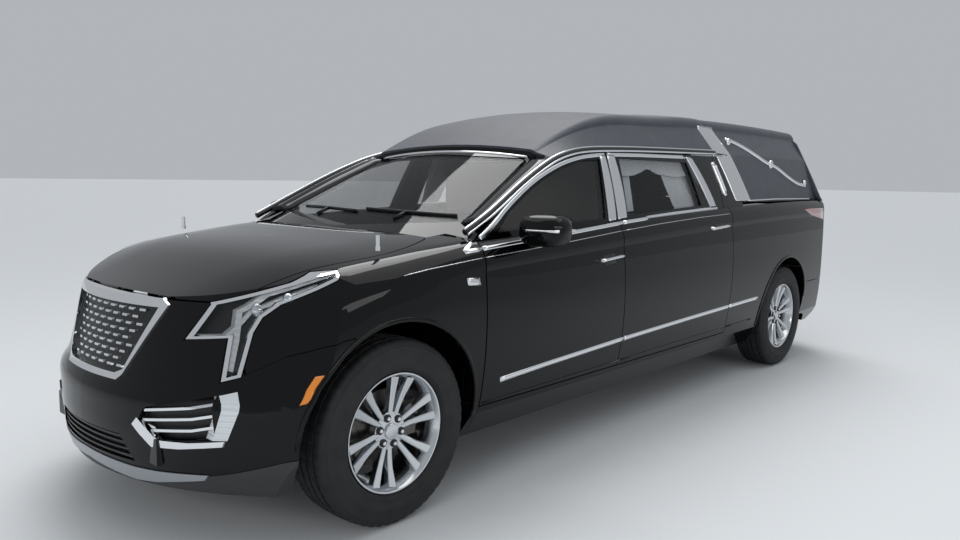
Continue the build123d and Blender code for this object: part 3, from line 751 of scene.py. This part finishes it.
gap = seams["gap"]
stretches = [("Fender", 2.0, seams["a"] + gap, "coach"),
             ("DoorFront", seams["a"] - gap, seams["b"] + gap, "door_front_SIDE"),
             ("DoorRear", seams["b"] - gap, seams["c"] + gap, "door_rear_SIDE"),
             ("Quarter", seams["c"] - gap, -2.0, "coach")]
for label, high, low, body in stretches:
    if label != "Quarter":
        moulding("belt" + label, between(beltLine, high, low), 0.011, 0.007, chrome, body)
    if label != "Fender":
        moulding("lower" + label, between(lowerLine, high, low), 0.013, 0.008, chrome, body)
moulding("surroundFront", rounded(surroundFront), 0.012, 0.005, chrome, "door_front_SIDE", 0.02)
moulding("surroundRear", surroundRear, 0.012, 0.005, chrome, "door_rear_SIDE")
surroundCorner = [(1.648, 1.081), (1.577, 1.114), (1.547, 1.128)]
moulding("surroundCorner", surroundCorner, 0.011, 0.005, chrome, "coach", 0.02)
for name, outline, door in (
        ("coverFront", [(0.417, 1.528), (0.368, 1.530), (0.427, 1.170), (0.497, 1.166)], "front"),
        ("coverRear", [(0.349, 1.530), (0.277, 1.531), (0.317, 1.180), (0.405, 1.174)], "rear"),
        ("cornerStrip", [(-0.556, 1.545), (-0.627, 1.548), (-0.787, 1.226), (-0.703, 1.222)], "rear")):
    ruledBand(name, outline, 0.006, stainless, "door_" + door + "_SIDE")
print("side mouldings laid")

# The drip moulding is double: two bright rails on a black channel, from the fender up the pillar and
# along the roof's edge, fixed to the coach
drip = {
    "path": [(1.565, 0.838, 1.158), (1.44, 0.836, 1.216), (1.34, 0.826, 1.266), (1.10, 0.789, 1.386),
             (0.86, 0.757, 1.486), (0.72, 0.748, 1.526), (0.58, 0.744, 1.550), (0.38, 0.742, 1.563),
             (-0.10, 0.741, 1.576), (-0.98, 0.741, 1.588)],
    "rail": 0.006, "channel": 0.016, "spread": 0.013, "outward": (0, 0.86, 0.5),
}


def railRings(path, radius, lift):
    # A round rail along the path, moved across it by lift
    facing = Vector(drip["outward"])
    rings = []
    for i, place in enumerate(path):
        ahead = (path[min(i + 1, len(path) - 1)] - path[max(i - 1, 0)]).normalized()
        outward = (facing - ahead * ahead.dot(facing)).normalized()
        across = ahead.cross(outward)
        middle = place + across * lift + outward * 0.004
        rings.append([middle + across * radius * math.cos(t) + outward * radius * math.sin(t)
                      for t in (k * math.pi / 4 for k in range(8))])
    return rings


dripPath = divided(rounded(drip["path"], 2), 0.03)
bothSides("dripUpper", *tube(railRings(dripPath, drip["rail"], drip["spread"])), chrome, "coach")
bothSides("dripLower", *tube(railRings(dripPath, drip["rail"], -drip["spread"])), chrome, "coach")
channelPath = [p - Vector((0, 0.007, 0.003)) for p in dripPath]
bothSides("dripChannel", *tube(railRings(channelPath, drip["channel"], 0.0)), plastic, "coach")

# Windscreen header strip, laid across the front of the roof cover
header = {"half": 0.009, "proud": 0.006, "top": 1.541, "fall": 0.000010, "reach": 57}
screenTree = surfaceOf("windscreen", "vinyl_roof", "body")


def seatedAhead(y, z):
    place, normal, _, _ = screenTree.ray_cast(Vector((3.0, y, z)), Vector((-1, 0, 0)))
    if place is None:
        return None, None
    return place, normal if normal.x > 0 else -normal


def crossRings(points, half, proud):
    # A strip across the car: points as (y, z), seated from ahead
    places = [seatedAhead(y, z) for y, z in points]
    return stripRings([p for p in places if p[0] is not None], half, proud, 0, 0)


# Black outer skin of the front pillar, between the windscreen's edge and the drip rail
pillar = {"foot": (0.705, 1.188), "lean": -0.135, "rise": 0.318, "railFoot": 1.190, "railRise": 0.315,
          "steps": 14}
bulge = Vector((0.35, 0.45, 0.8)).normalized()
pillarRings = []
for i in range(pillar["steps"] + 1):
    t = i / pillar["steps"]
    inner, _ = seatedAhead(pillar["foot"][0] + pillar["lean"] * t, pillar["foot"][1] + pillar["rise"] * t)
    if inner is None:
        continue
    height = pillar["railFoot"] + pillar["railRise"] * t
    outer = min(dripPath, key=lambda p: abs(p.z - height)) + Vector((0, -0.004, 0.0))
    ring = [inner + bulge * 0.003, inner.lerp(outer, 0.35) + bulge * 0.012,
            inner.lerp(outer, 0.7) + bulge * 0.012, outer, outer - bulge * 0.02,
            inner.lerp(outer, 0.5) - bulge * 0.01, inner - bulge * 0.004]
    pillarRings.append(ring)
bothSides("pillarSkin", *tube(pillarRings), lacquer, "coach")

marks = range(-header["reach"], header["reach"] + 1, 3)
headerLine = [(y / 100, header["top"] - header["fall"] * y * y) for y in marks]
meshPiece("headerStrip", *tube(crossRings(headerLine, header["half"], header["proud"])), chrome, "coach")

# Blank fender badge, amber marker, and the fine coachline: a thin stainless strip that is partly a pinstripe
# and partly a painted highlight along the shoulder crease
badge = [(1.663, 0.974), (1.587, 0.970), (1.581, 0.938), (1.657, 0.942)]
band("fenderBadge", badge, 0.004, chrome, "coach", 3)
marker = [(2.414, 0.678), (2.387, 0.682), (2.452, 0.588), (2.477, 0.583)]
band("amberMarker", marker, 0.005, amberLens, "coach", 6)
# Line of the thin stainless strip: partly a real pinstripe, partly a painted highlight where the shoulder
# crease catches the light
coachLine = [(2.325, 0.958), (2.105, 0.998), (1.865, 1.027), (1.565, 1.052), (1.225, 1.072), (0.885, 1.093),
             (0.475, 1.122), (0.025, 1.149), (-0.475, 1.172), (-0.875, 1.184)]
for label, high, low, body in stretches:
    if label != "Quarter":
        moulding("coachLine" + label, between(coachLine, high, low), 0.0016, 0.0012, stainless, body, 0.05)

# Landau trim on the vinyl: the slanting band, the S-shaped bar with its boss, and a slim coach lamp
landauBand = {"front": ((-1.106, 1.256), (-0.930, 1.785)), "rear": ((-1.343, 1.260), (-1.154, 1.785)),
              "from": 0.5, "sweep": 39.0, "steps": 32}
roofSide = surfaceOf("vinyl_roof", "body")


def wrappedPlace(line, angle):
    # Where a slanting line over the roof's side meets the skin, looked for from all round the section
    x = line[0][0]
    for _ in range(4):
        turn = math.radians(angle)
        start = Vector((x, 2.0 * math.cos(turn), 1.25 + 2.0 * math.sin(turn)))
        place, _, _, _ = roofSide.ray_cast(start, (Vector((x, 0, 1.25)) - start).normalized())
        share = (place.z - line[0][1]) / (line[1][1] - line[0][1])
        x = line[0][0] + (line[1][0] - line[0][0]) * share
    return Vector((x, place.y, place.z)), (start - Vector((x, 0, 1.25))).normalized()


rings = []
for k in range(landauBand["steps"] + 1):
    angle = landauBand["from"] + landauBand["sweep"] * k / landauBand["steps"]
    front, outward = wrappedPlace(landauBand["front"], angle)
    rear, _ = wrappedPlace(landauBand["rear"], angle)
    ring = [front - outward * 0.004, front + outward * 0.003]
    ring += [front.lerp(rear, share) + outward * 0.006 for share in (0.05, 0.35, 0.65, 0.95)]
    rings.append(ring + [rear + outward * 0.003, rear - outward * 0.004])
bothSides("landauBand", *tube(rings), stainless, "coach")
landauBar = [(-1.295, 1.690), (-1.375, 1.682), (-1.539, 1.640), (-1.695, 1.576), (-1.821, 1.534),
             (-1.882, 1.524), (-1.975, 1.508), (-2.174, 1.428), (-2.325, 1.382), (-2.497, 1.366)]
moulding("landauBar", rounded(landauBar), 0.015, 0.014, chrome, "coach", 0.02)
for label, x, z, size in (("Boss", -1.882, 1.524, 0.034), ("ScrollFront", -1.305, 1.668, 0.027),
                          ("ScrollRear", -2.490, 1.386, 0.027)):
    rings = []
    middle, normal = seated(x, z)
    across, up = normal.cross(Vector((0, 0, 1))).normalized(), Vector((0, 0, 1))
    for radius, lift in ((size, -0.003), (size, 0.010), (size * 0.8, 0.016), (size * 0.5, 0.019),
                         (size * 0.1, 0.021)):
        rings.append([middle + normal * lift + across * radius * math.cos(t * math.pi / 14)
                      + up * radius * math.sin(t * math.pi / 14) for t in range(28)])
    bothSides("landau" + label, *tube(rings), chrome, "coach")
moulding("coachLampBack", [(-0.905, 1.520), (-0.960, 1.300)], 0.020, 0.012, chrome, "coach", 0.02)
moulding("coachLampLens", [(-0.911, 1.496), (-0.954, 1.324)], 0.010, 0.022, ribbedLens, "coach", 0.02)
tailLampSide = [(-2.185, 1.189), (-2.640, 1.188), (-2.640, 1.096), (-2.334, 1.140)]
band("tailLampSide", tailLampSide, 0.005, redLens, "coach", 8)
moulding("vinylFoot", [(-1.30, 1.262), (-1.80, 1.268), (-2.60, 1.262)], 0.006, 0.006, chrome, "coach", 0.05)

# Door handles: a bright bar over a black cup
handle = {"Front": [(0.665, 0.979), (0.475, 0.992)], "Rear": [(-0.575, 1.098), (-0.795, 1.109)],
          "cup": (0.026, 0.0015), "bar": (0.0105, 0.030)}
for label in ("Front", "Rear"):
    (xa, za), (xb, zb) = handle[label]
    body = "door_" + label.lower() + "_SIDE"
    cupLine = [(xa - 0.035, za - 0.003), (xb + 0.05, zb - 0.007)]
    moulding("handleCup" + label, cupLine, *handle["cup"], plastic, body)
    moulding("handleBar" + label, handle[label], *handle["bar"], chrome, body, 0.02)

# The rear: a covered frame round the load door, red lamps, a blank plate and the door's pull
tail = {"axis": -0.375, "rows": [(1.24, 2.500), (1.26, 2.478), (1.50, 2.440), (1.76, 2.395), (1.90, 2.330)]}


def tailX(y, z):
    # The back stands on an arc in plan whose radius falls with height
    for (za, ra), (zb, rb) in zip(tail["rows"], tail["rows"][1:]):
        if za <= z <= zb:
            radius = ra + (rb - ra) * (z - za) / (zb - za)
            return tail["axis"] - math.sqrt(radius * radius - y * y)
    return tail["axis"] - math.sqrt(tail["rows"][0][1] ** 2 - y * y)


def alongPath(points, count):
    # Each stretch of a path cut into an equal count of steps
    found = []
    for a, b in zip(points, points[1:]):
        found += [(a[0] + (b[0] - a[0]) * i / count,
                   a[1] + (b[1] - a[1]) * i / count) for i in range(count)]
    return found + [points[-1]]


frameInner = [(0.608, 1.247), (0.572, 1.430), (0.506, 1.762), (0.250, 1.762), (0.0, 1.762)]
frameOuter = [(0.888, 1.247), (0.800, 1.430), (0.655, 1.715), (0.560, 1.790), (0.0, 1.822)]
rings = []
for (ya, za), (yb, zb) in zip(alongPath(frameInner, 6), alongPath(frameOuter, 6)):
    places = [(ya + (yb - ya) * t, za + (zb - za) * t) for t in (0, 0.25, 0.5, 0.75, 1)]
    ring = [Vector((tailX(y, z) + 0.004, y, z)) for y, z in places]
    rings.append(ring + [p + Vector((0.030, 0, 0)) for p in reversed(ring)])
bothSides("tailFrame", *tube(rings), vinyl, "coach")
tailTree = surfaceOf("body", "load_door", "bumper_rear", "load_door_vinyl")


def rearPatch(name, outline, proud, material, body, pair=True):
    # A thin cover on the back of the car: corners as (y, z)
    grid = []
    for r in range(7):
        line = []
        for c in range(7):
            y, z = within(outline, r / 6, c / 6)
            place, _, _, _ = tailTree.ray_cast(Vector((-4, y, z)), Vector((1, 0, 0)))
            x = place.x if place is not None else -2.80
            line.append(Vector((x - proud * (0.5 if c in (0, 6) else 1), y, z)))
        inward = Vector((proud + 0.004, 0, 0))
        grid.append(line + [line[-1] + inward, line[0] + inward])
    if pair:
        bothSides(name, *tube(grid), material, body)
    else:
        meshPiece(name, *tube(grid), material, body)


# Covers on the back: two lamps a side, then blank covers across the middle by half width and heights
for name, outline in (("tailLampRear", [(0.640, 1.188), (0.872, 1.188), (0.860, 1.098), (0.640, 1.142)]),
                      ("tailLampLow", [(0.735, 1.120), (0.850, 1.096), (0.826, 0.880), (0.755, 0.900)])):
    rearPatch(name, outline, 0.006, redLens, "coach")
for name, half, high, low, proud, material, body in (
        ("plateBack", 0.270, 0.955, 0.800, 0.003, plastic, "load_door"),
        ("blankPlate", 0.155, 0.950, 0.830, 0.006, satinSilver, "load_door"),
        ("loadDoorPull", 0.140, 1.010, 0.984, 0.022, chrome, "load_door"),
        ("tailStrip", 0.585, 1.058, 1.046, 0.005, chrome, "load_door"),
        ("bumperStrip", 0.700, 0.520, 0.508, 0.005, chrome, "coach")):
    rearPatch(name, [(-half, high), (half, high), (half, low), (-half, low)], proud, material, body, False)

# Wipers, parked along the foot of the windscreen
wipers = [[(0.640, 1.214), (0.350, 1.222), (0.070, 1.228)], [(0.330, 1.190), (0.352, 1.222)],
          [(0.020, 1.216), (-0.250, 1.222), (-0.520, 1.220)], [(-0.270, 1.190), (-0.248, 1.222)]]
for i, line in enumerate(wipers):
    points = [(p.x, p.y) for p in divided(line, 0.03)]
    meshPiece("wiper%d" % (i + 1), *tube(crossRings(points, 0.006, 0.013)), plastic, "coach")

# Sill ribs, and the lips round the wheel arches
sillLine = [(1.525, 0.398), (-1.295, 0.428)]
for label, high, low, body in stretches[1:]:
    moulding("sillRib" + label, between(sillLine, high, low), 0.006, 0.004, lacquer, body, 0.1)
arch = {"radius": 0.456, "z": 0.385, "half": 0.010, "proud": 0.006, "front": 2.03, "rear": -1.87}
for label in ("front", "rear"):
    turns = [math.radians(a) for a in range(-8, 189, 6)]
    line = [(arch[label] + arch["radius"] * math.cos(t),
             arch["z"] + arch["radius"] * math.sin(t)) for t in turns]
    moulding("archLip" + label.title(), line, arch["half"], arch["proud"], lacquer, "coach", 0.05)
print("small trim laid")

# Curtains in the rear doors: gathered voile drapes under a pleated, scalloped valance
curtain = {"fold": 0.007, "inset": 0.058, "front": 0.275, "rear": -0.575, "top": 1.518, "foot": 1.222}
glassSide = surfaceOf("glass_rear_left", "door_rear_left")


def clothPlace(x, z, phase, depth):
    place, _, _, _ = glassSide.ray_cast(Vector((x, 1.5, z)), Vector((0, -1, 0)))
    y = place.y if place is not None else 0.80
    return Vector((x, y - depth + curtain["fold"] * math.sin(phase), z))


def pleatedSheet(name, edgeTop, edgeFoot, columns, rows, folds, foot, depth):
    # Edges as (front x, rear x); foot gives the height of the lower edge at a share of the width
    vertices, faces = [], []
    for r in range(rows + 1):
        t = r / rows
        for c in range(columns + 1):
            s = c / columns
            atTop = edgeTop[0] + (edgeTop[1] - edgeTop[0]) * s
            atFoot = edgeFoot[0] + (edgeFoot[1] - edgeFoot[0]) * s
            x = atTop * (1 - t) + atFoot * t
            z = curtain["top"] + (foot(s) - curtain["top"]) * t
            phase = 2 * math.pi * folds * s + 0.5 * math.sin(5 * s) + 0.25 * math.sin(9 * t + 4 * s)
            vertices.append(clothPlace(x, z, phase, depth + 0.004 * math.sin(3 * t)))
    for r in range(rows):
        for c in range(columns):
            a = r * (columns + 1) + c
            faces.append((a, a + 1, a + columns + 2, a + columns + 1))
    for side, sign in (("Left", 1), ("Right", -1)):
        placed = [(v[0], sign * v[1], v[2]) for v in vertices]
        piece = meshPiece(name + side, placed, faces, voile, "door_rear_" + side.lower())


def valanceFoot(s):
    # A scalloped lower edge that rises to a pointed arch near its middle
    return 1.430 + 0.042 * math.exp(-((s - 0.47) / 0.10) ** 2) - 0.012 * abs(math.sin(3 * math.pi * s))


pleatedSheet("drapeFront", (curtain["front"], 0.045), (0.285, 0.125), 60, 14, 9,
             lambda s: curtain["foot"] - 0.012 + 0.01 * s, curtain["inset"])
pleatedSheet("drapeRear", (-0.275, curtain["rear"]), (-0.345, -0.645), 60, 14, 10,
             lambda s: curtain["foot"] + 0.006 + 0.012 * s, curtain["inset"])
pleatedSheet("valance", (curtain["front"], curtain["rear"]), (0.28, -0.58), 120, 6, 26, valanceFoot,
             curtain["inset"] - 0.016)
print("curtains hung")

for blank in blanks:
    bpy.data.objects.remove(blank)

# Wheels: twelve split spokes in pairs, a polished rim, black lug pockets and a blank cap
wheel = {"pairs": 6, "turn": 77, "lug": 0.057, "track": 0.817, "height": 0.38}
# One spoke of a pair, one row a section: distance out, offset, half width, place of the face, thickness
spokeRows = [(0.050, 0.012, 0.010, 0.060, 0.034), (0.100, 0.019, 0.012, 0.063, 0.030),
             (0.150, 0.028, 0.014, 0.069, 0.026), (0.222, 0.044, 0.020, 0.084, 0.024)]
rimRows = [(0.246, 0.092), (0.243, 0.098), (0.237, 0.097), (0.222, 0.076), (0.212, 0.020), (0.212, -0.080),
           (0.246, -0.096), (0.246, -0.090), (0.238, -0.086), (0.222, -0.070), (0.224, 0.010),
           (0.234, 0.070), (0.241, 0.088)]
tyreRows = [(0.246, 0.090), (0.254, 0.104), (0.262, 0.108), (0.264, 0.111), (0.268, 0.110), (0.292, 0.1165),
            (0.310, 0.1175), (0.312, 0.1165), (0.336, 0.1150), (0.350, 0.1110), (0.352, 0.1085),
            (0.362, 0.1050), (0.370, 0.1000), (0.3755, 0.092)]
treadRows = [(0.3765, 0.084), (0.3772, 0.066), (0.370, 0.065), (0.370, 0.057), (0.3790, 0.056),
             (0.3795, 0.026), (0.371, 0.025), (0.371, 0.016), (0.380, 0.015), (0.380, -0.015),
             (0.371, -0.016), (0.371, -0.025), (0.3795, -0.026), (0.3790, -0.056), (0.370, -0.057),
             (0.370, -0.065), (0.3772, -0.066), (0.3765, -0.084)]


def turned(rows, count, closed=True, ripple=None):
    # A profile of (radius, across) turned about the axle
    vertices, faces = [], []
    for i in range(count):
        turn = 2 * math.pi * i / count
        for k, (radius, y) in enumerate(rows):
            r = radius - (ripple(i, k) if ripple else 0)
            vertices.append((r * math.cos(turn), y, r * math.sin(turn)))
    for i in range(count):
        for k in range(len(rows) - (0 if closed else 1)):
            a, b = i * len(rows), ((i + 1) % count) * len(rows)
            n = (k + 1) % len(rows)
            faces.append((a + k, a + n, b + n, b + k))
    return vertices, faces


def joined(*parts):
    # Several shapes as one list of points and faces
    vertices, faces = [], []
    for some, sides in parts:
        start = len(vertices)
        vertices += some
        faces += [tuple(start + i for i in f) for f in sides]
    return vertices, faces


def turnedAbout(part, degrees):
    c, s = math.cos(math.radians(degrees)), math.sin(math.radians(degrees))
    return [(x * c + z * s, y, z * c - x * s) for x, y, z in part[0]], part[1]


def spoke(sign):
    # One spoke of a pair, tapering outward, its face narrower than its back
    rings = []
    for out, offset, halfWidth, face, thick in spokeRows:
        a, b = sign * (offset - halfWidth), sign * (offset + halfWidth)
        c, d = sign * (offset + halfWidth + 0.005), sign * (offset - halfWidth - 0.005)
        rings.append([(out, face - 0.003, a), (out, face, a + sign * 0.004), (out, face, b - sign * 0.004),
                      (out, face - 0.003, b), (out, face - thick, c), (out, face - thick, d)])
    return tube(rings)


def plug(radius, low, high, x=0.0, count=28, dome=0.0):
    # A short round plug along the axle, with a broken edge and a domed end
    rows = [(radius, low), (radius, high - 0.002), (radius - 0.002, high)]
    rows.append((radius * 0.5, high + dome))
    turns = [2 * math.pi * i / count for i in range(count)]
    return tube([[(x + r * math.cos(t), y, r * math.sin(t)) for t in turns] for r, y in rows])


# Rim, hub and blank cap first, then the spokes
bright = [turned(rimRows, 96), plug(0.078, 0.022, 0.058, dome=0.004), plug(0.033, 0.055, 0.072, dome=0.003)]
dark, nuts = [], []
for step in range(wheel["pairs"]):
    angle = step * 360 / wheel["pairs"] + wheel["turn"]
    bright += [turnedAbout(spoke(1), angle), turnedAbout(spoke(-1), angle)]
    middle = angle + 180 / wheel["pairs"]
    dark.append(turnedAbout(plug(0.0165, 0.050, 0.0665, wheel["lug"], 20), middle))
    nuts.append(turnedAbout(plug(0.0090, 0.060, 0.0725, wheel["lug"], 6), middle))
tread = tyreRows + treadRows + [(r, -y) for r, y in reversed(tyreRows)]
farShoulder = len(tyreRows) + len(treadRows) - 2
shoulder = set(range(11, 16)) | set(range(farShoulder, farShoulder + 5))


def sipes(i, k):
    # Cross grooves: every fourth step of the shoulders, every sixth of the ribs, a few millimetres deep
    if k in shoulder:
        return 0.0035 if i % 4 == 0 else 0
    return 0.004 if 16 <= k < farShoulder and i % 6 == 3 else 0


tyreShape = turned(tread, 216, False, sipes)
wheelParts = (("wheelFace", bright, alloy), ("lugPockets", dark, plastic), ("wheelNuts", nuts, chrome),
              ("tyreTread", [tyreShape], rubber))
for end, x in (("front", 2.03), ("rear", -1.87)):
    for side, sign in (("left", 1), ("right", -1)):
        corner = end + "_" + side
        label = end.title() + side.title()
        for kind, parts, material in wheelParts:
            vertices, faces = joined(*parts)
            placed = [(x + v[0], sign * (wheel["track"] + v[1]), wheel["height"] + v[2]) for v in vertices]
            if sign > 0:
                faces = [tuple(reversed(f)) for f in faces]
            piece = meshPiece(kind + label, placed, faces, material, "wheel_" + corner)
            piece.data.set_sharp_from_angle(angle=math.radians(sharpEdge["wheel"]))
            if kind == "wheelFace":
                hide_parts("rim_" + corner)
            if kind == "tyreTread":
                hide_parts("tyre_" + corner)
print("wheels and tyres made")


def roundedBlock(rows, power, count=28):
    # Rings of a soft block: each row gives a middle, two half sizes and the axes they lie on
    rings = []
    for middle, (axisA, halfA), (axisB, halfB) in rows:
        ring = []
        for i in range(count):
            t = 2 * math.pi * i / count
            c, s = math.cos(t), math.sin(t)
            size = (abs(c) ** power + abs(s) ** power) ** (-1 / power)
            ring.append(Vector(middle) + Vector(axisA) * halfA * c * size + Vector(axisB) * halfB * s * size)
        rings.append(ring)
    return tube(rings)


# Door mirrors: a rounded head with a bright strip on a short foot, and the silvered plate behind
mirror = {
    "middle": (1.250, 1.034, 1.160), "half": (0.088, 0.106, 0.074), "lean": 0.030,
    # Foot: middle, then half sizes along the car and upward
    "foot": [((1.205, 0.900, 1.088), 0.045, 0.016), ((1.200, 0.945, 1.094), 0.036, 0.015),
             ((1.192, 1.000, 1.112), 0.028, 0.016)],
    # Plate: distance behind the middle, share of the width across, share of the height
    "plate": [(0.056, -0.8, 0.70), (0.060, 0, 0.82), (0.064, 0.72, 0.66)], "plateHalf": 0.0015,
    "strip": 0.007,
}
alongX, alongZ = (1, 0, 0), (0, 0, 1)
mx, my, mz = mirror["middle"]
ha, hb, hc = mirror["half"]
rows = []
for i in range(13):
    t = i / 12
    swell = (1 - abs(2 * t - 1) ** 3.2) ** 0.45 if 0 < i < 12 else 0.12
    rows.append(((mx - mirror["lean"] * t + 0.012, my - hb + 2 * hb * t, mz + 0.004),
                 (alongX, ha * (0.35 + 0.62 * swell)), (alongZ, hc * (0.30 + 0.70 * swell))))
head = roundedBlock(rows, power=3.0)
foot = roundedBlock([(middle, (alongX, long), (alongZ, high)) for middle, long, high in mirror["foot"]],
                    power=3.0)
rows = []
for i in range(9):
    t = i / 8
    place = (mx - mirror["lean"] * (0.2 + 0.8 * t) + 0.014, my - hb * 0.55 + 1.50 * hb * t, mz + 0.006)
    rows.append((place, (alongX, ha * (0.99 - 0.10 * abs(2 * t - 1) ** 4)), (alongZ, mirror["strip"])))
strip = roundedBlock(rows, power=5.0)
plate = roundedBlock([((mx - back, my + hb * share, mz), (alongX, mirror["plateHalf"]), (alongZ, hc * high))
                      for back, share, high in mirror["plate"]], power=4.0)
mirrorParts = (("mirrorHead", joined(head, foot), lacquer), ("mirrorStrip", strip, chrome),
               ("mirrorPlate", plate, silvered))
for side, sign in (("left", 1), ("right", -1)):
    for label, part, material in mirrorParts:
        placed = [(v[0], sign * v[1], v[2]) for v in part[0]]
        faces = part[1] if sign > 0 else [tuple(reversed(f)) for f in part[1]]
        piece = meshPiece(label + side.title(), placed, faces, material, "door_front_" + side)
        if label == "mirrorHead":
            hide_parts("mirror_" + side)
print("mirrors made")


# Seats: crowned cushions and backs with side rolls and sewn channels, and headrests
seat = {
    "side": 0.41, "channels": 4, "dip": 0.007, "roll": 0.62,
    # Line down the middle as (x, z), thickness, half width, crown of the side rolls
    "cushion": ([(0.52, 0.556), (0.70, 0.570), (0.93, 0.590), (0.99, 0.555)], 0.055, 0.245, 0.05),
    "back": ([(0.350, 1.150), (0.375, 0.980), (0.425, 0.780), (0.475, 0.600)], 0.052, 0.235, 0.045),
    "headrest": ([(0.340, 1.17), (0.345, 1.10)], 0.040, 0.115, 0.0),
}


def pad(name, spine, thickness, halfWidth, crown, side, replaced):
    # spine: (x, z) points from one end of the pad to the other; thickness along its normal
    columns, turns = 28, 40
    line = [Vector((x, 0, z)) for x, z in spine]
    length = sum((b - a).length for a, b in zip(line, line[1:]))
    samples = divided([tuple(p) for p in line], length / columns)
    vertices, faces = [], []
    for i, place in enumerate(samples):
        t = i / (len(samples) - 1)
        ahead = (samples[min(i + 1, len(samples) - 1)] - samples[max(i - 1, 0)]).normalized()
        upright = Vector((-ahead.z, 0, ahead.x))
        ends = (1 - abs(2 * t - 1) ** 5) ** 0.5 if 0 < t < 1 else 0.18
        for k in range(turns):
            angle = 2 * math.pi * k / turns
            c, d = math.cos(angle), math.sin(angle)
            size = (abs(c) ** 5 + abs(d) ** 5) ** (-1 / 5)
            across = c * size * halfWidth * (0.86 + 0.14 * ends)
            lift = d * size * thickness * (0.35 + 0.65 * ends)
            if d > 0:
                wing = max(0.0, abs(across) / halfWidth - seat["roll"])
                lift += crown * wing * 1.6
                if abs(across) < halfWidth * seat["roll"]:
                    groove = abs(math.sin(math.pi * (seat["channels"] * t + 0.5))) ** 14
                    lift -= seat["dip"] * groove
            vertices.append(place + upright * lift + Vector((0, side * seat["side"] + across, 0)))
    for r in range(len(samples) - 1):
        for k in range(turns):
            n = (k + 1) % turns
            faces.append((r * turns + k, r * turns + n, (r + 1) * turns + n, (r + 1) * turns + k))
    faces.append(tuple(range(turns)))
    faces.append(tuple(reversed(range((len(samples) - 1) * turns, len(samples) * turns))))
    piece = meshPiece(name, vertices, faces, hide, "coach")
    if replaced:
        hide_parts(*replaced)


for side, sign in (("left", 1), ("right", -1)):
    label = side.title()
    for part in ("cushion", "back", "headrest"):
        pad(part + label, *seat[part], sign, ("seat_" + side,) if part == "cushion" else ())
print("seats made")

# Studio
studio = {
    "floor": "#cfd2d4", "floorSize": 300.0, "sky": "#dfe3e8", "skyStrength": 0.6,
    # Softboxes: length, width, watts; the ceiling: strength, spread and tilts in degrees
    "key": (9.0, 4.0, 110.0), "side": (7.0, 1.2, 60.0), "nose": (3.0, 2.0, 90.0),
    "ceiling": 1.5, "ceilingSpread": 40, "ceilingTilt": (22, -24),
}
bpy.ops.mesh.primitive_plane_add(size=studio["floorSize"], location=(0, 0, 0))
floor = bpy.context.object
floor.name = "studio floor"
floorPaint, shader = newMaterial("matt floor paint", studio["floor"], 0.75)
grain(floorPaint, shader, 40, 0.05)
floor.data.materials.append(floorPaint)


def areaLamp(name, place, aim, size, sizeY, power):
    lamp = bpy.data.lights.new(name, "AREA")
    lamp.shape, lamp.size, lamp.size_y, lamp.energy = "RECTANGLE", size, sizeY, power
    holder = bpy.data.objects.new(name, lamp)
    bpy.context.scene.collection.objects.link(holder)
    holder.location = place
    holder.rotation_euler = (Vector(aim) - Vector(place)).to_track_quat("-Z", "Y").to_euler()
    return holder


areaLamp("overhead softbox", (0.5, 0.5, 5.2), (0, 0, 0), *studio["key"])
areaLamp("side softbox", (1.0, 7.5, 2.6), (0, 0, 0.8), *studio["side"])
# The nose softbox fills without leaving a hard patch in the lacquer
areaLamp("nose softbox", (8.0, 2.5, 3.0), (2.5, 0, 0.7), *studio["nose"]).visible_glossy = False

# A broad even light from above, as from a lit ceiling
ceiling = bpy.data.lights.new("ceiling light", "SUN")
ceiling.energy = studio["ceiling"]
ceiling.angle = math.radians(studio["ceilingSpread"])
holder = bpy.data.objects.new("ceiling light", ceiling)
bpy.context.scene.collection.objects.link(holder)
holder.rotation_euler = (*(math.radians(a) for a in studio["ceilingTilt"]), 0)

world = bpy.data.worlds.new("studio dome")
bpy.context.scene.world = world
world.use_nodes = True
back = world.node_tree.nodes["Background"]
back.inputs["Color"].default_value = hexLinear(studio["sky"])
back.inputs["Strength"].default_value = studio["skyStrength"]

# Camera: solved from the photograph's wheels, seams and roof, 780 pixels of focal length at 960 wide
view = {"place": (4.03894, 3.18343, 1.39803), "yaw": 222.369, "pitch": -6.779, "roll": 0.858, "lens": 29.25}
yaw, pitch, roll = (math.radians(view[k]) for k in ("yaw", "pitch", "roll"))
ahead = Vector((math.cos(yaw) * math.cos(pitch), math.sin(yaw) * math.cos(pitch), math.sin(pitch)))
level = Vector((math.sin(yaw), -math.cos(yaw), 0))
upright = level.cross(ahead)
right = level * math.cos(roll) + upright * math.sin(roll)
top = upright * math.cos(roll) - level * math.sin(roll)
camera = bpy.data.objects.new("camera", bpy.data.cameras.new("camera"))
bpy.context.scene.collection.objects.link(camera)
camera.data.lens, camera.data.sensor_width = view["lens"], 36.0
camera.matrix_world = Matrix((right, top, -ahead)).transposed().to_4x4()
camera.location = view["place"]
bpy.context.scene.camera = camera
bpy.context.scene.view_settings.view_transform = "Standard"
print("studio and camera ready")
